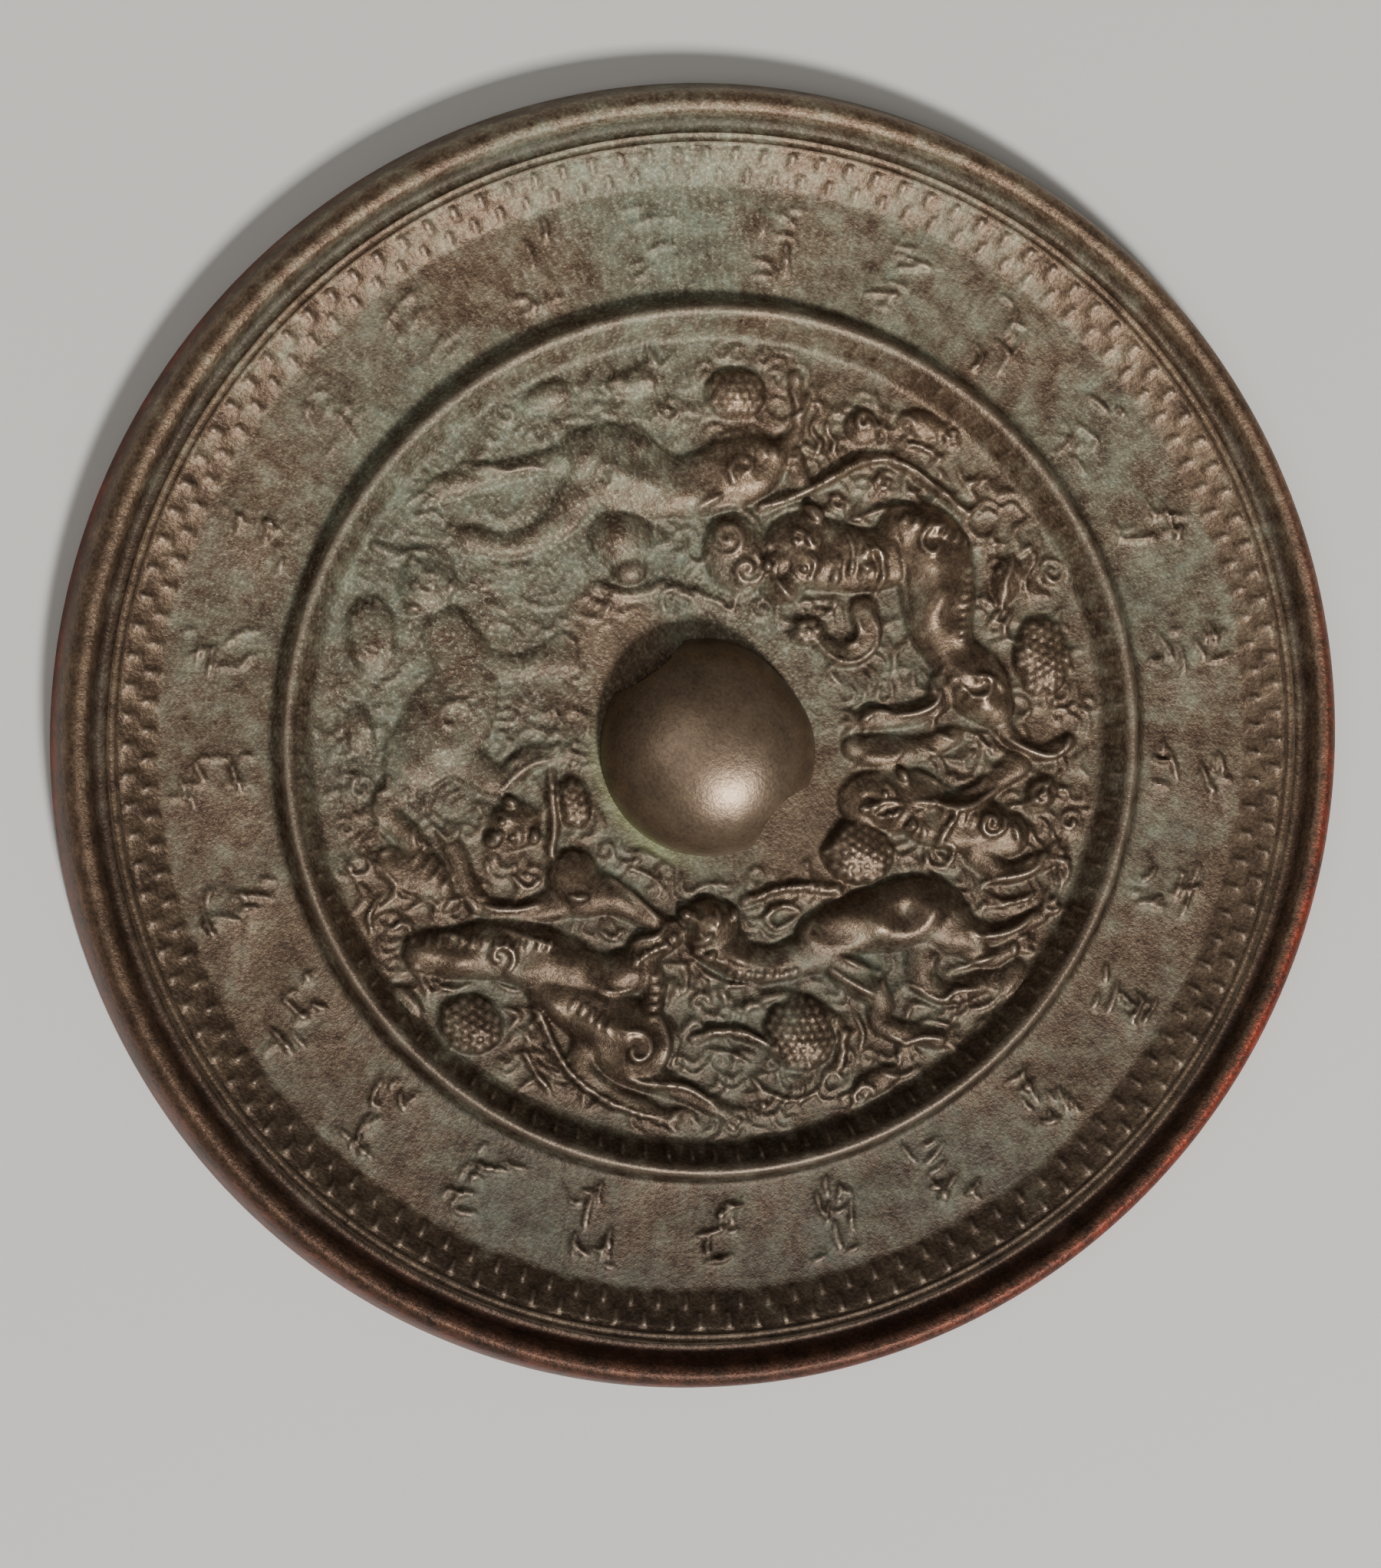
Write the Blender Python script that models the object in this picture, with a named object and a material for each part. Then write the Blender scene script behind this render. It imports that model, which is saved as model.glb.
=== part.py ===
# Ancient bronze mirror: one cast plate with a cord knob, beasts among vines, an inscription band and a rim
import math

import bmesh
import bpy
import numpy as np
from mathutils.geometry import delaunay_2d_cdt

MM = 0.001

# Widths of the rings of the back, from the centre out, in millimetres
KNOB_R = 15.5
FIELD_WIDTH = 41.5
RIDGE_FOOT = 3.2
RIDGE_WIDTH = 1.0
RIDGE_BACK = 2.0
BAND_WIDTH = 15.4
TEETH_WIDTH = 4.8
LINES_WIDTH = 2.2
COVE_WIDTH = 1.0
CREST_SLOPE = 1.8
CREST_WIDTH = 1.5
SHOULDER_WIDTH = 1.5
WALL_FLARE = 1.6
FACE_BEVEL = 0.5

# Steps up and down between the levels, in millimetres, counted from the polished face
FIELD_Z = 3.0
RIDGE_RISE = 4.0
BAND_RISE = 1.0
TEETH_CLIMB = 2.0
LINES_RISE = 0.2
COVE_DROP = 0.4
CREST_RISE = 2.9
SHOULDER_DROP = 1.3
BEVEL_Z = 0.8
KNOB_RISE = 12.0

# The radii and levels that follow from them
FIELD_R = KNOB_R + FIELD_WIDTH
RIDGE_IN_R = FIELD_R + RIDGE_FOOT
RIDGE_OUT_R = RIDGE_IN_R + RIDGE_WIDTH
BAND_IN_R = RIDGE_OUT_R + RIDGE_BACK
BAND_OUT_R = BAND_IN_R + BAND_WIDTH
TEETH_OUT_R = BAND_OUT_R + TEETH_WIDTH
COVE_IN_R = TEETH_OUT_R + LINES_WIDTH
COVE_R = COVE_IN_R + COVE_WIDTH
CREST_IN_R = COVE_R + CREST_SLOPE
CREST_OUT_R = CREST_IN_R + CREST_WIDTH
SHOULDER_R = CREST_OUT_R + SHOULDER_WIDTH
RIM_R = SHOULDER_R + WALL_FLARE
FACE_R = RIM_R - FACE_BEVEL
BAND_Z = FIELD_Z + BAND_RISE
TEETH_Z = BAND_Z + TEETH_CLIMB
COVE_IN_Z = TEETH_Z + LINES_RISE
COVE_Z = COVE_IN_Z - COVE_DROP
CREST_Z = COVE_Z + CREST_RISE
SHOULDER_Z = CREST_Z - SHOULDER_DROP
RIDGE_Z = FIELD_Z + RIDGE_RISE
PROFILE = ((0.0, FIELD_Z), (FIELD_R, FIELD_Z), (RIDGE_IN_R, RIDGE_Z), (RIDGE_OUT_R, RIDGE_Z),
           (BAND_IN_R, BAND_Z), (BAND_OUT_R, BAND_Z))

# The knob isn't quite round: as shares of its radius, its centre lies aside and its one side is flattened
KNOB_ASIDE = 0.08
KNOB_FLAT = 0.07
KNOB_ROOT = 1.0

# The one casting is parted on a circle round the knob, outside the channel's mouths, so that the collision
# pieces of the figures don't reach over the channel
SEAT_WIDTH = 6.5
SEAT_SIDES = 32
SEAT_R = KNOB_R + SEAT_WIDTH

# The cord channel through it, an arch that widens toward both mouths and is worn high at the one along +X
CHANNEL_HALF = 4.8
CHANNEL_HIGH = 5.6
MOUTH_FLARE = 1.6
MOUTH_WORN = 6.0
MOUTH_CLEAR = 6.0

# The channel runs along X; the figures are laid out in a frame turned back by this angle
CHANNEL_TURN = math.radians(48.0)

# Teeth and signs: the rows' places as shares of the slope, heights, and half the width of a stroke
TOOTH_ROWS = (0.18, 0.74)
TOOTH_RISE = 0.55
STROKE_RISE = 0.5
STROKE_HALF = 0.65
SIGNS = 25

# Divisions of the rings and the points that the relief may take
SIDES = 128
KNOB_STEPS = 7
RELIEF_POINTS = 1470
GRID_STEP = 2.7
SAMPLE_STEP = 0.8
FALL = 0.8

# The figures as they lie on the back, each a run of stations (x, y, half width), with its rise before them.
# They are laid out for a field of this radius and follow the field when it changes.
LAYOUT_R = 57.0
FIGURES = (
    # the beast above the knob: body, two reaching legs, one hind leg and tail
    (3.5, (-19.5, 41.0, 2.8), (-14.8, 38.6, 6.0), (-5.5, 35.8, 4.3), (3.5, 38.4, 5.0), (8.5, 40.2, 2.4)),
    (1.9, (-18.0, 40.0, 3.0), (-24.5, 39.2, 1.7), (-31.0, 37.8, 1.6), (-39.0, 35.6, 1.9)),
    (2.0, (-19.0, 35.5, 3.2), (-23.0, 30.4, 2.2), (-29.0, 27.6, 1.8), (-35.0, 28.4, 2.1)),
    (1.8, (5.0, 38.0, 3.0), (10.4, 40.8, 1.6), (12.0, 37.4, 1.7)),
    (1.8, (8.0, 40.4, 1.8), (11.2, 43.4, 1.2), (12.0, 47.0, 1.1), (11.2, 51.6, 1.1)),
    # the great beast at the right: neck, body to the haunch, foreleg, tail, and the curled jaw
    (3.0, (26.5, 26.5, 4.4), (21.0, 25.8, 4.6), (15.5, 26.6, 5.2)),
    (4.0, (27.2, 30.2, 3.6), (31.0, 28.0, 5.4), (32.4, 22.5, 5.7), (32.8, 16.8, 4.8), (34.8, 12.4, 3.7),
     (38.2, 8.2, 4.7), (41.0, 4.6, 3.0)),
    (1.9, (34.0, 8.0, 2.8), (32.0, 5.0, 1.8), (28.0, 3.6, 1.6), (22.0, 3.0, 1.8)),
    (1.7, (41.0, 4.6, 2.2), (43.2, 0.8, 1.4), (47.6, -2.0, 1.2), (52.2, -0.4, 1.2)),
    (2.0, (21.6, 18.6, 2.2), (22.4, 14.6, 1.8), (18.8, 12.2, 1.6), (15.4, 14.0, 1.4)),
    # the small beast at the right, under the tail: fur, body, two limbs
    (1.8, (20.5, -1.0, 2.0), (25.0, -1.6, 2.6), (30.0, -1.4, 2.0), (35.0, 0.6, 1.5)),
    (2.8, (31.0, -11.6, 3.4), (37.0, -12.0, 4.3), (43.0, -13.6, 3.4)),
    (1.8, (39.0, -16.0, 2.6), (43.0, -19.2, 1.7), (49.0, -17.4, 1.5)),
    (1.8, (37.0, -9.0, 2.2), (41.0, -6.2, 1.7), (44.4, -3.6, 2.2)),
    # the leaping beast at the lower right: body, long neck, foreleg, two hind legs and rump
    (4.2, (15.0, -28.6, 3.3), (19.8, -26.6, 4.2), (25.8, -25.4, 5.0), (31.0, -24.6, 5.3), (34.8, -27.0, 3.8),
     (38.6, -29.2, 2.0)),
    (2.9, (15.0, -30.2, 3.2), (9.0, -31.7, 2.7), (4.0, -31.2, 2.9), (-0.2, -28.0, 3.6)),
    (2.6, (17.0, -30.0, 3.0), (20.8, -34.2, 2.5), (24.4, -37.0, 2.0), (25.0, -41.0, 1.7),
     (33.0, -43.0, 1.6)),
    (2.0, (30.6, -29.5, 2.8), (30.6, -34.0, 1.9), (34.6, -36.6, 1.6), (39.4, -35.4, 1.4)),
    (1.8, (36.0, -28.5, 2.4), (40.5, -31.4, 1.6), (44.0, -30.0, 1.4)),
    (1.9, (37.0, -27.4, 2.2), (42.0, -28.2, 1.5), (48.2, -25.4, 1.3)),
    # the crouching beast at the bottom: body to the round haunch and two feet
    (3.8, (-24.0, -34.8, 3.0), (-18.0, -38.0, 4.4), (-11.8, -42.6, 6.1)),
    (1.9, (-12.6, -46.6, 2.6), (-6.0, -49.0, 1.7), (1.6, -52.8, 1.3)),
    (1.8, (-17.6, -42.0, 2.8), (-18.4, -47.0, 1.8), (-7.6, -53.4, 1.4)),
    # the long beast at the lower left: body, knobbly brow and jaw
    (3.1, (-42.0, -29.6, 2.6), (-36.5, -29.6, 3.6), (-30.0, -29.0, 4.6), (-23.5, -31.2, 4.6),
     (-17.0, -33.4, 3.6), (-12.0, -32.6, 3.2)),
    (3.4, (-11.6, -31.6, 2.4), (-9.0, -29.0, 2.4), (-5.6, -27.2, 1.9)),
    (2.8, (-10.0, -31.6, 2.3), (-8.6, -34.8, 1.8), (-9.2, -38.4, 1.8)),
    # its hump and the limbs that spread from it
    (3.2, (-20.4, -18.8, 3.8), (-19.4, -21.0, 3.8), (-14.6, -22.0, 2.4), (-8.0, -25.8, 1.5)),
    (1.8, (-22.0, -22.6, 2.4), (-28.0, -24.0, 1.6), (-34.0, -22.2, 1.6), (-37.4, -14.8, 1.6)),
    # the worn beast at the left: body, limbs and paw
    (2.0, (-38.0, 15.4, 3.8), (-35.6, 9.4, 4.6), (-38.0, 3.0, 6.2), (-42.4, -2.0, 4.8)),
    (1.6, (-36.0, -2.4, 3.0), (-30.6, -5.6, 2.2), (-26.8, -2.4, 1.9), (-22.6, -1.8, 1.8)),
    (1.4, (-43.0, -4.0, 3.0), (-47.0, -9.0, 2.0), (-43.6, -13.0, 1.8)),
    (1.2, (-33.0, 11.0, 2.4), (-27.6, 10.6, 1.8), (-22.0, 12.2, 2.8)),
    (1.3, (-46.0, -17.0, 2.6), (-41.6, -18.4, 3.4), (-38.0, -22.0, 2.0)),
)

# Round forms on the field: centre, half length, half width, turn, rise
HUMPS = (
    (-13.6, 28.6, 4.6, 4.4, 0, 2.9), (-12.4, 24.4, 2.6, 2.4, 0, 2.4), (2.8, 26.6, 6.0, 4.6, 105, 2.6),
    (12.6, 27.2, 5.8, 5.6, 0, 3.2), (9.6, 22.4, 3.4, 3.0, 0, 2.6), (26.2, -8.6, 8.2, 4.4, 4, 2.6),
    (-0.6, -26.2, 4.3, 4.2, 0, 3.4), (-41.2, 22.0, 4.2, 4.0, 0, 2.2), (-29.0, -11.8, 4.2, 3.4, 30, 2.0),
    (2.7, 49.2, 4.5, 3.7, 0, 2.1), (48.0, 12.0, 5.8, 4.2, 95, 2.1), (-48.8, 15.0, 5.6, 3.8, 95, 1.9),
    (-20.2, -8.6, 3.9, 2.5, 100, 1.8), (20.8, -15.8, 5.6, 4.6, 150, 2.3),
    (12.7, -41.8, 5.6, 5.2, 120, 2.3), (-34.8, -39.6, 4.8, 4.2, 150, 1.9),
    (48.0, -8.0, 3.2, 2.2, 60, 1.4), (42.8, 23.0, 3.6, 2.2, 80, 1.4), (21.2, 44.6, 2.6, 2.6, 0, 1.5),
    (30.0, 45.2, 3.4, 2.0, 160, 1.3), (-44.0, -36.6, 3.2, 2.0, 130, 1.3),
    (-24.0, 48.6, 3.8, 2.0, 20, 1.3), (44.0, -34.6, 3.2, 2.0, 60, 1.3),
    (24.0, -49.0, 3.8, 2.0, 25, 1.3), (-50.6, 2.0, 3.4, 2.0, 95, 1.3), (-12.0, 50.6, 3.8, 2.0, 10, 1.3),
)

# Vine stems: start, two turning points and end
VINES = (
    ((6.6, 33.2), (14.6, 36.4), (24.4, 40.4), (36.6, 32.6)),
    ((-2.8, -42.2), (1.6, -41.2), (6.0, -42.4), (9.6, -44.6)),
    ((3.8, -38.2), (11.0, -36.4), (18.4, -40.6), (18.6, -46.6)),
    ((-25.4, -37.2), (-22.6, -44.4), (-16.0, -50.4), (-7.4, -53.4)),
    ((-16.8, 21.8), (-12.4, 20.8), (-7.2, 21.8), (-3.0, 20.6)),
    ((4.6, -22.8), (8.8, -21.2), (13.0, -20.8), (18.0, -21.4)),
    ((-48.4, 27.4), (-44.6, 26.2), (-40.4, 26.6), (-36.8, 21.8)),
    ((-23.6, -3.4), (-23.2, -8.0), (-23.0, -12.0), (-23.4, -16.0)),
)


def curve(stations, steps=5):
    """A smooth run through stations of (x, y, radius)."""
    p = np.array(stations, float)
    ends = np.vstack([2 * p[0] - p[1], p, 2 * p[-1] - p[-2]])
    t = np.linspace(0.0, 1.0, steps, endpoint=False)[:, None]
    rows = []
    for a, b, c, d in zip(ends, ends[1:], ends[2:], ends[3:]):
        square = 2 * a - 5 * b + 4 * c - d
        cube = 3 * b - a - 3 * c + d
        rows.append(b + 0.5 * ((c - a) * t + square * t**2 + cube * t**3))
    return np.vstack(rows + [p[-1:]])


def limb(x, y, z, stations, rise, soft):
    """Raise a round, tapering form along the stations and blend it into what is there."""
    line = curve(stations)
    new = np.zeros_like(z)
    for a, b in zip(line, line[1:]):
        step = b - a
        t = ((x - a[0]) * step[0] + (y - a[1]) * step[1]) / (step[0]**2 + step[1]**2)
        t = np.clip(t, 0.0, 1.0)
        radius = a[2] + step[2] * t
        away = ((x - a[0] - step[0] * t)**2 + (y - a[1] - step[1] * t)**2) / radius**2
        top = rise * (1.0 - np.exp(-0.95 * radius / rise))
        new = np.maximum(new, top * np.maximum(1.0 - away, 0.0)**FALL)
    return blend(z, new, soft)


def oval(x, y, z, place, half, turn, rise, soft=0.4):
    """Raise a round hump with two half widths."""
    c = math.cos(math.radians(turn))
    s = math.sin(math.radians(turn))
    dx = x - place[0]
    dy = y - place[1]
    away = ((dx * c + dy * s) / half[0])**2 + ((dy * c - dx * s) / half[1])**2
    return blend(z, rise * np.maximum(1.0 - away, 0.0)**FALL, soft)


def blend(old, new, soft):
    """The higher of two forms, with a small fillet where they meet; bare ground stays bare."""
    reach = np.minimum(soft, 1.5 * np.minimum(old, new)) + 1e-9
    share = np.clip(0.5 + 0.5 * (new - old) / reach, 0.0, 1.0)
    return old * (1.0 - share) + new * share + 0.5 * reach * share * (1.0 - share)


def relief(x, y):
    """Height of the figures over the field, in the frame of the layout."""
    x = x * LAYOUT_R / FIELD_R
    y = y * LAYOUT_R / FIELD_R
    z = np.zeros_like(x)
    for points in VINES:
        z = limb(x, y, z, [(*p, 0.9) for p in points], 1.5, 0.2)
    for rise, *stations in sorted(FIGURES, key=lambda figure: figure[0]):
        z = limb(x, y, z, stations, rise, 0.5)
    for cx, cy, long, wide, turn, rise in HUMPS:
        z = oval(x, y, z, (cx, cy), (long, wide), turn, rise)
    return z


def height(x, y):
    """Height of the cast back inside the toothed ring."""
    r = np.hypot(x, y)
    across = np.abs(x * math.sin(CHANNEL_TURN) + y * math.cos(CHANNEL_TURN))
    open_field = np.clip(FIELD_R - r, 0.0, 1.0) * np.clip(r - KNOB_R - 1.0, 0.0, 1.0)
    open_field *= np.clip(np.maximum(across - MOUTH_CLEAR, r - KNOB_R - MOUTH_CLEAR), 0.0, 1.0)
    return np.interp(r, *zip(*PROFILE)) + relief(x, y) * open_field


def ring(radius, count, phase=0.0):
    """Points of a circle; the phase is in steps of its own division."""
    return [(radius * math.cos(2 * math.pi * (i + phase) / count),
             radius * math.sin(2 * math.pi * (i + phase) / count)) for i in range(count)]


def sign_strokes(number):
    """Bars of one worn sign in the inscription band, as (start, end); they spell nothing."""
    angle = math.radians(11.0 + number * 360.0 / SIGNS)
    c = math.cos(angle)
    s = math.sin(angle)
    middle = (BAND_IN_R + BAND_OUT_R) / 2
    lean = 0.25 * math.sin(2.1 * number)
    kinds = (((-2.6, 3.6, 0.4, 4.4), (-0.6, 1.2, 2.6, 2.4), (-2.4, -3.6, 1.8, -2.2)),
             ((-2.4, 0.6, -1.2, 4.4), (0.4, 4.0, 2.6, 2.6), (0.2, -4.4, 1.2, 0.4)),
             ((-2.8, 2.4, 1.2, 3.2), (-1.6, -1.4, 2.6, -0.4), (-2.4, -4.2, -0.4, -3.0)),
             ((-0.8, 4.4, 0.2, 0.4), (1.4, -0.6, 2.6, -4.2), (-2.8, -2.8, -0.6, -4.4)))
    bars = []
    for x0, y0, x1, y1 in kinds[number % 4]:
        ends = []
        for u, v in ((x0, y0), (x1, y1)):
            side = u + lean * v
            out = middle + 1.05 * v
            ends.append((out * c + side * s, out * s - side * c))
        bars.append(ends)
    return bars


def triangles_of(points, edges):
    """Constrained triangulation of flat points."""
    found = delaunay_2d_cdt([tuple(p) for p in points], edges, [], 0, 1e-7, True)
    origins = [ids[0] if ids else -1 for ids in found[3]]
    return np.array([tuple(v) for v in found[0]]), origins, [f for f in found[2]]


def worst_points(points, heights, faces, samples, sample_z):
    """For each triangle, the sample that it misses by most, as (miss, index)."""
    misses = []
    for face in faces:
        a, b, c = (points[i] for i in face)
        low = np.minimum(np.minimum(a, b), c)
        high = np.maximum(np.maximum(a, b), c)
        first, last = np.searchsorted(samples[:, 0], (low[0], high[0]))
        near = samples[first:last]
        area = (b[0] - a[0]) * (c[1] - a[1]) - (b[1] - a[1]) * (c[0] - a[0])
        if not len(near) or abs(area) < 1e-9:
            continue
        u = ((near[:, 0] - a[0]) * (c[1] - a[1]) - (near[:, 1] - a[1]) * (c[0] - a[0])) / area
        v = ((b[0] - a[0]) * (near[:, 1] - a[1]) - (b[1] - a[1]) * (near[:, 0] - a[0])) / area
        inside = (u > 0.02) & (v > 0.02) & (u + v < 0.98)
        if not inside.any():
            continue
        za, zb, zc = (heights[i] for i in face)
        miss = np.abs(za + (zb - za) * u + (zc - za) * v - sample_z[first:last]) * inside
        best = int(np.argmax(miss))
        misses.append((float(miss[best]), first + best))
    return sorted(misses, reverse=True)


def middle_patch():
    """Points and triangles of the back inside the toothed ring, closest where the relief bends most."""
    points = []
    edges = []
    crests = set()
    for radius, sides in [(SEAT_R, SEAT_SIDES)] + [(radius, SIDES) for radius, _ in PROFILE[1:]]:
        base = len(points)
        points += ring(radius, sides)
        edges += [(base + i, base + (i + 1) % sides) for i in range(sides)]
    for number in range(SIGNS):
        for start, end in sign_strokes(number):
            along = np.array(end) - np.array(start)
            along = along / np.hypot(*along)
            across = np.array((-along[1], along[0])) * STROKE_HALF
            base = len(points)
            crests.update((base + 4, base + 5))
            for spot in (start - across, start + across, end + across, end - across,
                         start + along * STROKE_HALF, end - along * STROKE_HALF):
                points.append(tuple(spot))
            edges += [(base + i, base + (i + 1) % 4) for i in range(4)]
            edges.append((base + 4, base + 5))
    steps = np.arange(-FIELD_R, FIELD_R, SAMPLE_STEP)
    grid_x, grid_y = np.meshgrid(steps, steps, indexing="ij")
    away = np.hypot(grid_x, grid_y)
    keep = (away < FIELD_R - 0.3) & (np.abs(away - SEAT_R) > 0.4)
    samples = np.column_stack([grid_x[keep], grid_y[keep]])
    sample_z = height(samples[:, 0], samples[:, 1])
    rows = int(FIELD_R / (GRID_STEP * 0.866))
    lattice = [((i + 0.5 * (j % 2)) * GRID_STEP, j * GRID_STEP * 0.866) for j in range(-rows, rows + 1)
               for i in range(-rows, rows + 1)]
    lattice = np.array([p for p in lattice if KNOB_R + 1.0 < math.hypot(*p) < FIELD_R - 1.5
                        and abs(math.hypot(*p) - SEAT_R) > 0.6])
    around = np.array([height(lattice[:, 0] + dx, lattice[:, 1] + dy) for dx, dy in ring(1.2, 4)])
    lattice = [tuple(p) for p in lattice[around.max(axis=0) > FIELD_Z + 0.05]]
    points += lattice
    count = len(lattice)
    while True:
        flat, origins, faces = triangles_of(points, edges)
        z = height(flat[:, 0], flat[:, 1])
        z += [STROKE_RISE if origin in crests else 0.0 for origin in origins]
        room = RELIEF_POINTS - count
        if room <= 0:
            return flat, z, faces
        chosen = worst_points(flat, z, faces, samples, sample_z)[:max(60, min(room, len(faces) // 4))][:room]
        points += [tuple(samples[index]) for _, index in chosen]
        count += len(chosen)


def zip_rings(faces, lower, upper):
    """Fill the strip between two closed rings of vertices, of equal or of doubled count."""
    many = max(len(lower), len(upper))
    for i in range(many):
        a, b = (k * len(lower) // many % len(lower) for k in (i, i + 1))
        c, d = (k * len(upper) // many % len(upper) for k in (i, i + 1))
        if a != b:
            faces.append((lower[a], upper[c], lower[b]))
        if c != d:
            faces.append((upper[c], upper[d], lower[b]))


def circle_of(flat, radius):
    """The points that lie on a circle, in order round it."""
    found = [i for i, p in enumerate(flat) if abs(math.hypot(*p) - radius) < 1e-4]
    return sorted(found, key=lambda i: math.atan2(flat[i][1], flat[i][0]) % (2 * math.pi - 1e-6))


def in_seat(x, y):
    """Whether a place lies inside the many-sided circle of the knob's seat."""
    step = 2 * math.pi / SEAT_SIDES
    turn = math.atan2(y, x) % step - step / 2
    return math.hypot(x, y) * math.cos(turn) < SEAT_R * math.cos(step / 2)


def plate():
    """The cast plate as points, the faces outside the knob's seat, and the faces of the seat."""
    flat, z, patch = middle_patch()
    verts = [(p[0], p[1], level) for p, level in zip(flat, z)]
    faces = []
    middle = []
    for face in patch:
        x, y = sum(flat[i] for i in face) / 3
        (middle if in_seat(x, y) else faces).append(tuple(face))
    seat = circle_of(flat, SEAT_R)
    previous = circle_of(flat, BAND_OUT_R)
    first, second = TOOTH_ROWS
    rows = [(first, 2, 0), ((first + second) / 2, 2, None), (second, 2, 1), (1.0, 1, None)]
    rows = [(BAND_OUT_R + share * TEETH_WIDTH, n, odd, BAND_Z + share * TEETH_CLIMB)
            for share, n, odd in rows]
    for radius, level in ((COVE_IN_R, COVE_IN_Z), (COVE_R, COVE_Z), (CREST_IN_R, CREST_Z - CREST_WIDTH / 2),
                          (CREST_OUT_R, CREST_Z), (SHOULDER_R, SHOULDER_Z), (RIM_R, BEVEL_Z), (FACE_R, 0.0)):
        rows.append((radius, 1, None, level))
    for radius, share, odd, level in rows:
        base = len(verts)
        for i, (px, py) in enumerate(ring(radius, SIDES * share)):
            crest = TOOTH_RISE if odd is not None and i % 2 == odd else 0.0
            verts.append((px, py, level + crest))
        current = list(range(base, len(verts)))
        zip_rings(faces, previous, current)
        previous = current
    below = list(range(len(verts), len(verts) + SEAT_SIDES))
    verts += [(verts[i][0], verts[i][1], 0.0) for i in seat]
    zip_rings(faces, previous, below)
    for side in (faces, middle):
        zip_rings(side, below, seat)
    middle.append(tuple(below))
    return verts, faces, middle


def knob_share(angle):
    """The knob's radius toward an angle, as a share of KNOB_R."""
    flat = KNOB_FLAT * math.exp(-((angle - math.pi / 2) / 0.55)**2)
    return 1.0 - KNOB_ASIDE * math.sin(angle) - flat


def knob():
    """The domed knob, rooted in the plate, before its channel is cut."""
    verts = []
    faces = []
    count = SIDES // 8 * 3
    low = FIELD_Z - KNOB_ROOT
    levels = [(KNOB_R, low), (KNOB_R, FIELD_Z)]
    for k in range(1, KNOB_STEPS):
        bend = k / KNOB_STEPS * math.pi / 2
        levels.append((KNOB_R * math.cos(bend)**0.9, FIELD_Z + KNOB_RISE * math.sin(bend)))
    rows = []
    for radius, level in levels:
        rows.append(list(range(len(verts), len(verts) + count)))
        for px, py in ring(radius, count):
            share = knob_share(math.atan2(py, px))
            verts.append((px * share, py * share, level))
    for below, above in zip(rows, rows[1:]):
        zip_rings(faces, below, above)
    verts.append((0.0, 0.0, FIELD_Z + KNOB_RISE))
    for a, b in zip(rows[-1], rows[-1][1:] + rows[-1][:1]):
        faces.append((a, b, len(verts) - 1))
    faces.append(tuple(rows[0]))
    return verts, faces


def channel():
    """The arch that passes through the knob along X and opens out toward both mouths."""
    verts = []
    faces = []
    low = FIELD_Z - 2 * KNOB_ROOT
    reach = KNOB_R * (1.0 + KNOB_ASIDE) + 3.0
    stations = [k / 6 * reach for k in range(-6, 7)]
    rows = []
    for x in stations:
        open_out = min(1.0, abs(x) / KNOB_R)**3
        half = CHANNEL_HALF + MOUTH_FLARE * open_out
        high = CHANNEL_HIGH + (MOUTH_WORN * open_out if x > 0.0 else 0.0)
        row = [(x, -half, low)]
        for k in range(13):
            bend = math.pi * k / 12
            row.append((x, -half * math.cos(bend), FIELD_Z + high * math.sin(bend)))
        row.append((x, half, low))
        rows.append(list(range(len(verts), len(verts) + len(row))))
        verts += row
    for before, after in zip(rows, rows[1:]):
        zip_rings(faces, before, after)
    faces.append(tuple(rows[0]))
    faces.append(tuple(reversed(rows[-1])))
    return verts, faces


def solid(name, verts, faces, turn=0.0):
    """A closed mesh object from points in millimetres, turned about Z, with its normals outward."""
    c = math.cos(turn)
    s = math.sin(turn)
    mesh = bpy.data.meshes.new(name)
    mesh.from_pydata([((x * c - y * s) * MM, (x * s + y * c) * MM, z * MM) for x, y, z in verts], [], faces)
    work = bmesh.new()
    work.from_mesh(mesh)
    bmesh.ops.delete(work, geom=[v for v in work.verts if not v.link_faces], context="VERTS")
    bmesh.ops.triangulate(work, faces=[f for f in work.faces if len(f.verts) > 3])
    bmesh.ops.recalc_face_normals(work, faces=work.faces)
    work.to_mesh(mesh)
    work.free()
    made = bpy.data.objects.new(name, mesh)
    bpy.context.scene.collection.objects.link(made)
    return made


def combine(target, tool, operation):
    """Join or cut with another object, which stays hidden."""
    step = target.modifiers.new(tool.name, "BOOLEAN")
    step.operation = operation
    step.solver = "EXACT"
    step.object = tool
    tool.hide_render = True
    tool.display_type = "WIRE"


for leftover in list(bpy.data.objects):
    bpy.data.objects.remove(leftover, do_unlink=True)

bronze = bpy.data.materials.new("bronze")
bronze.use_nodes = True
shader = bronze.node_tree.nodes["Principled BSDF"]
shader.inputs["Base Color"].default_value = (0.12, 0.09, 0.065, 1.0)
shader.inputs["Metallic"].default_value = 0.85
shader.inputs["Roughness"].default_value = 0.48

places, ring_faces, seat_faces = plate()
mirror = solid("mirror_plate", places, ring_faces, CHANNEL_TURN)
mirror.data.materials.append(bronze)
boss = solid("knob_and_seat", places, seat_faces, CHANNEL_TURN)
boss.data.materials.append(bronze)
dome = solid("knob_dome", *knob())
arch = solid("knob_channel", *channel())
combine(dome, arch, "DIFFERENCE")
combine(boss, dome, "UNION")
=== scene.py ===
import math

import bmesh
import bpy
import numpy as np
from mathutils import Matrix, Vector


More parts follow.
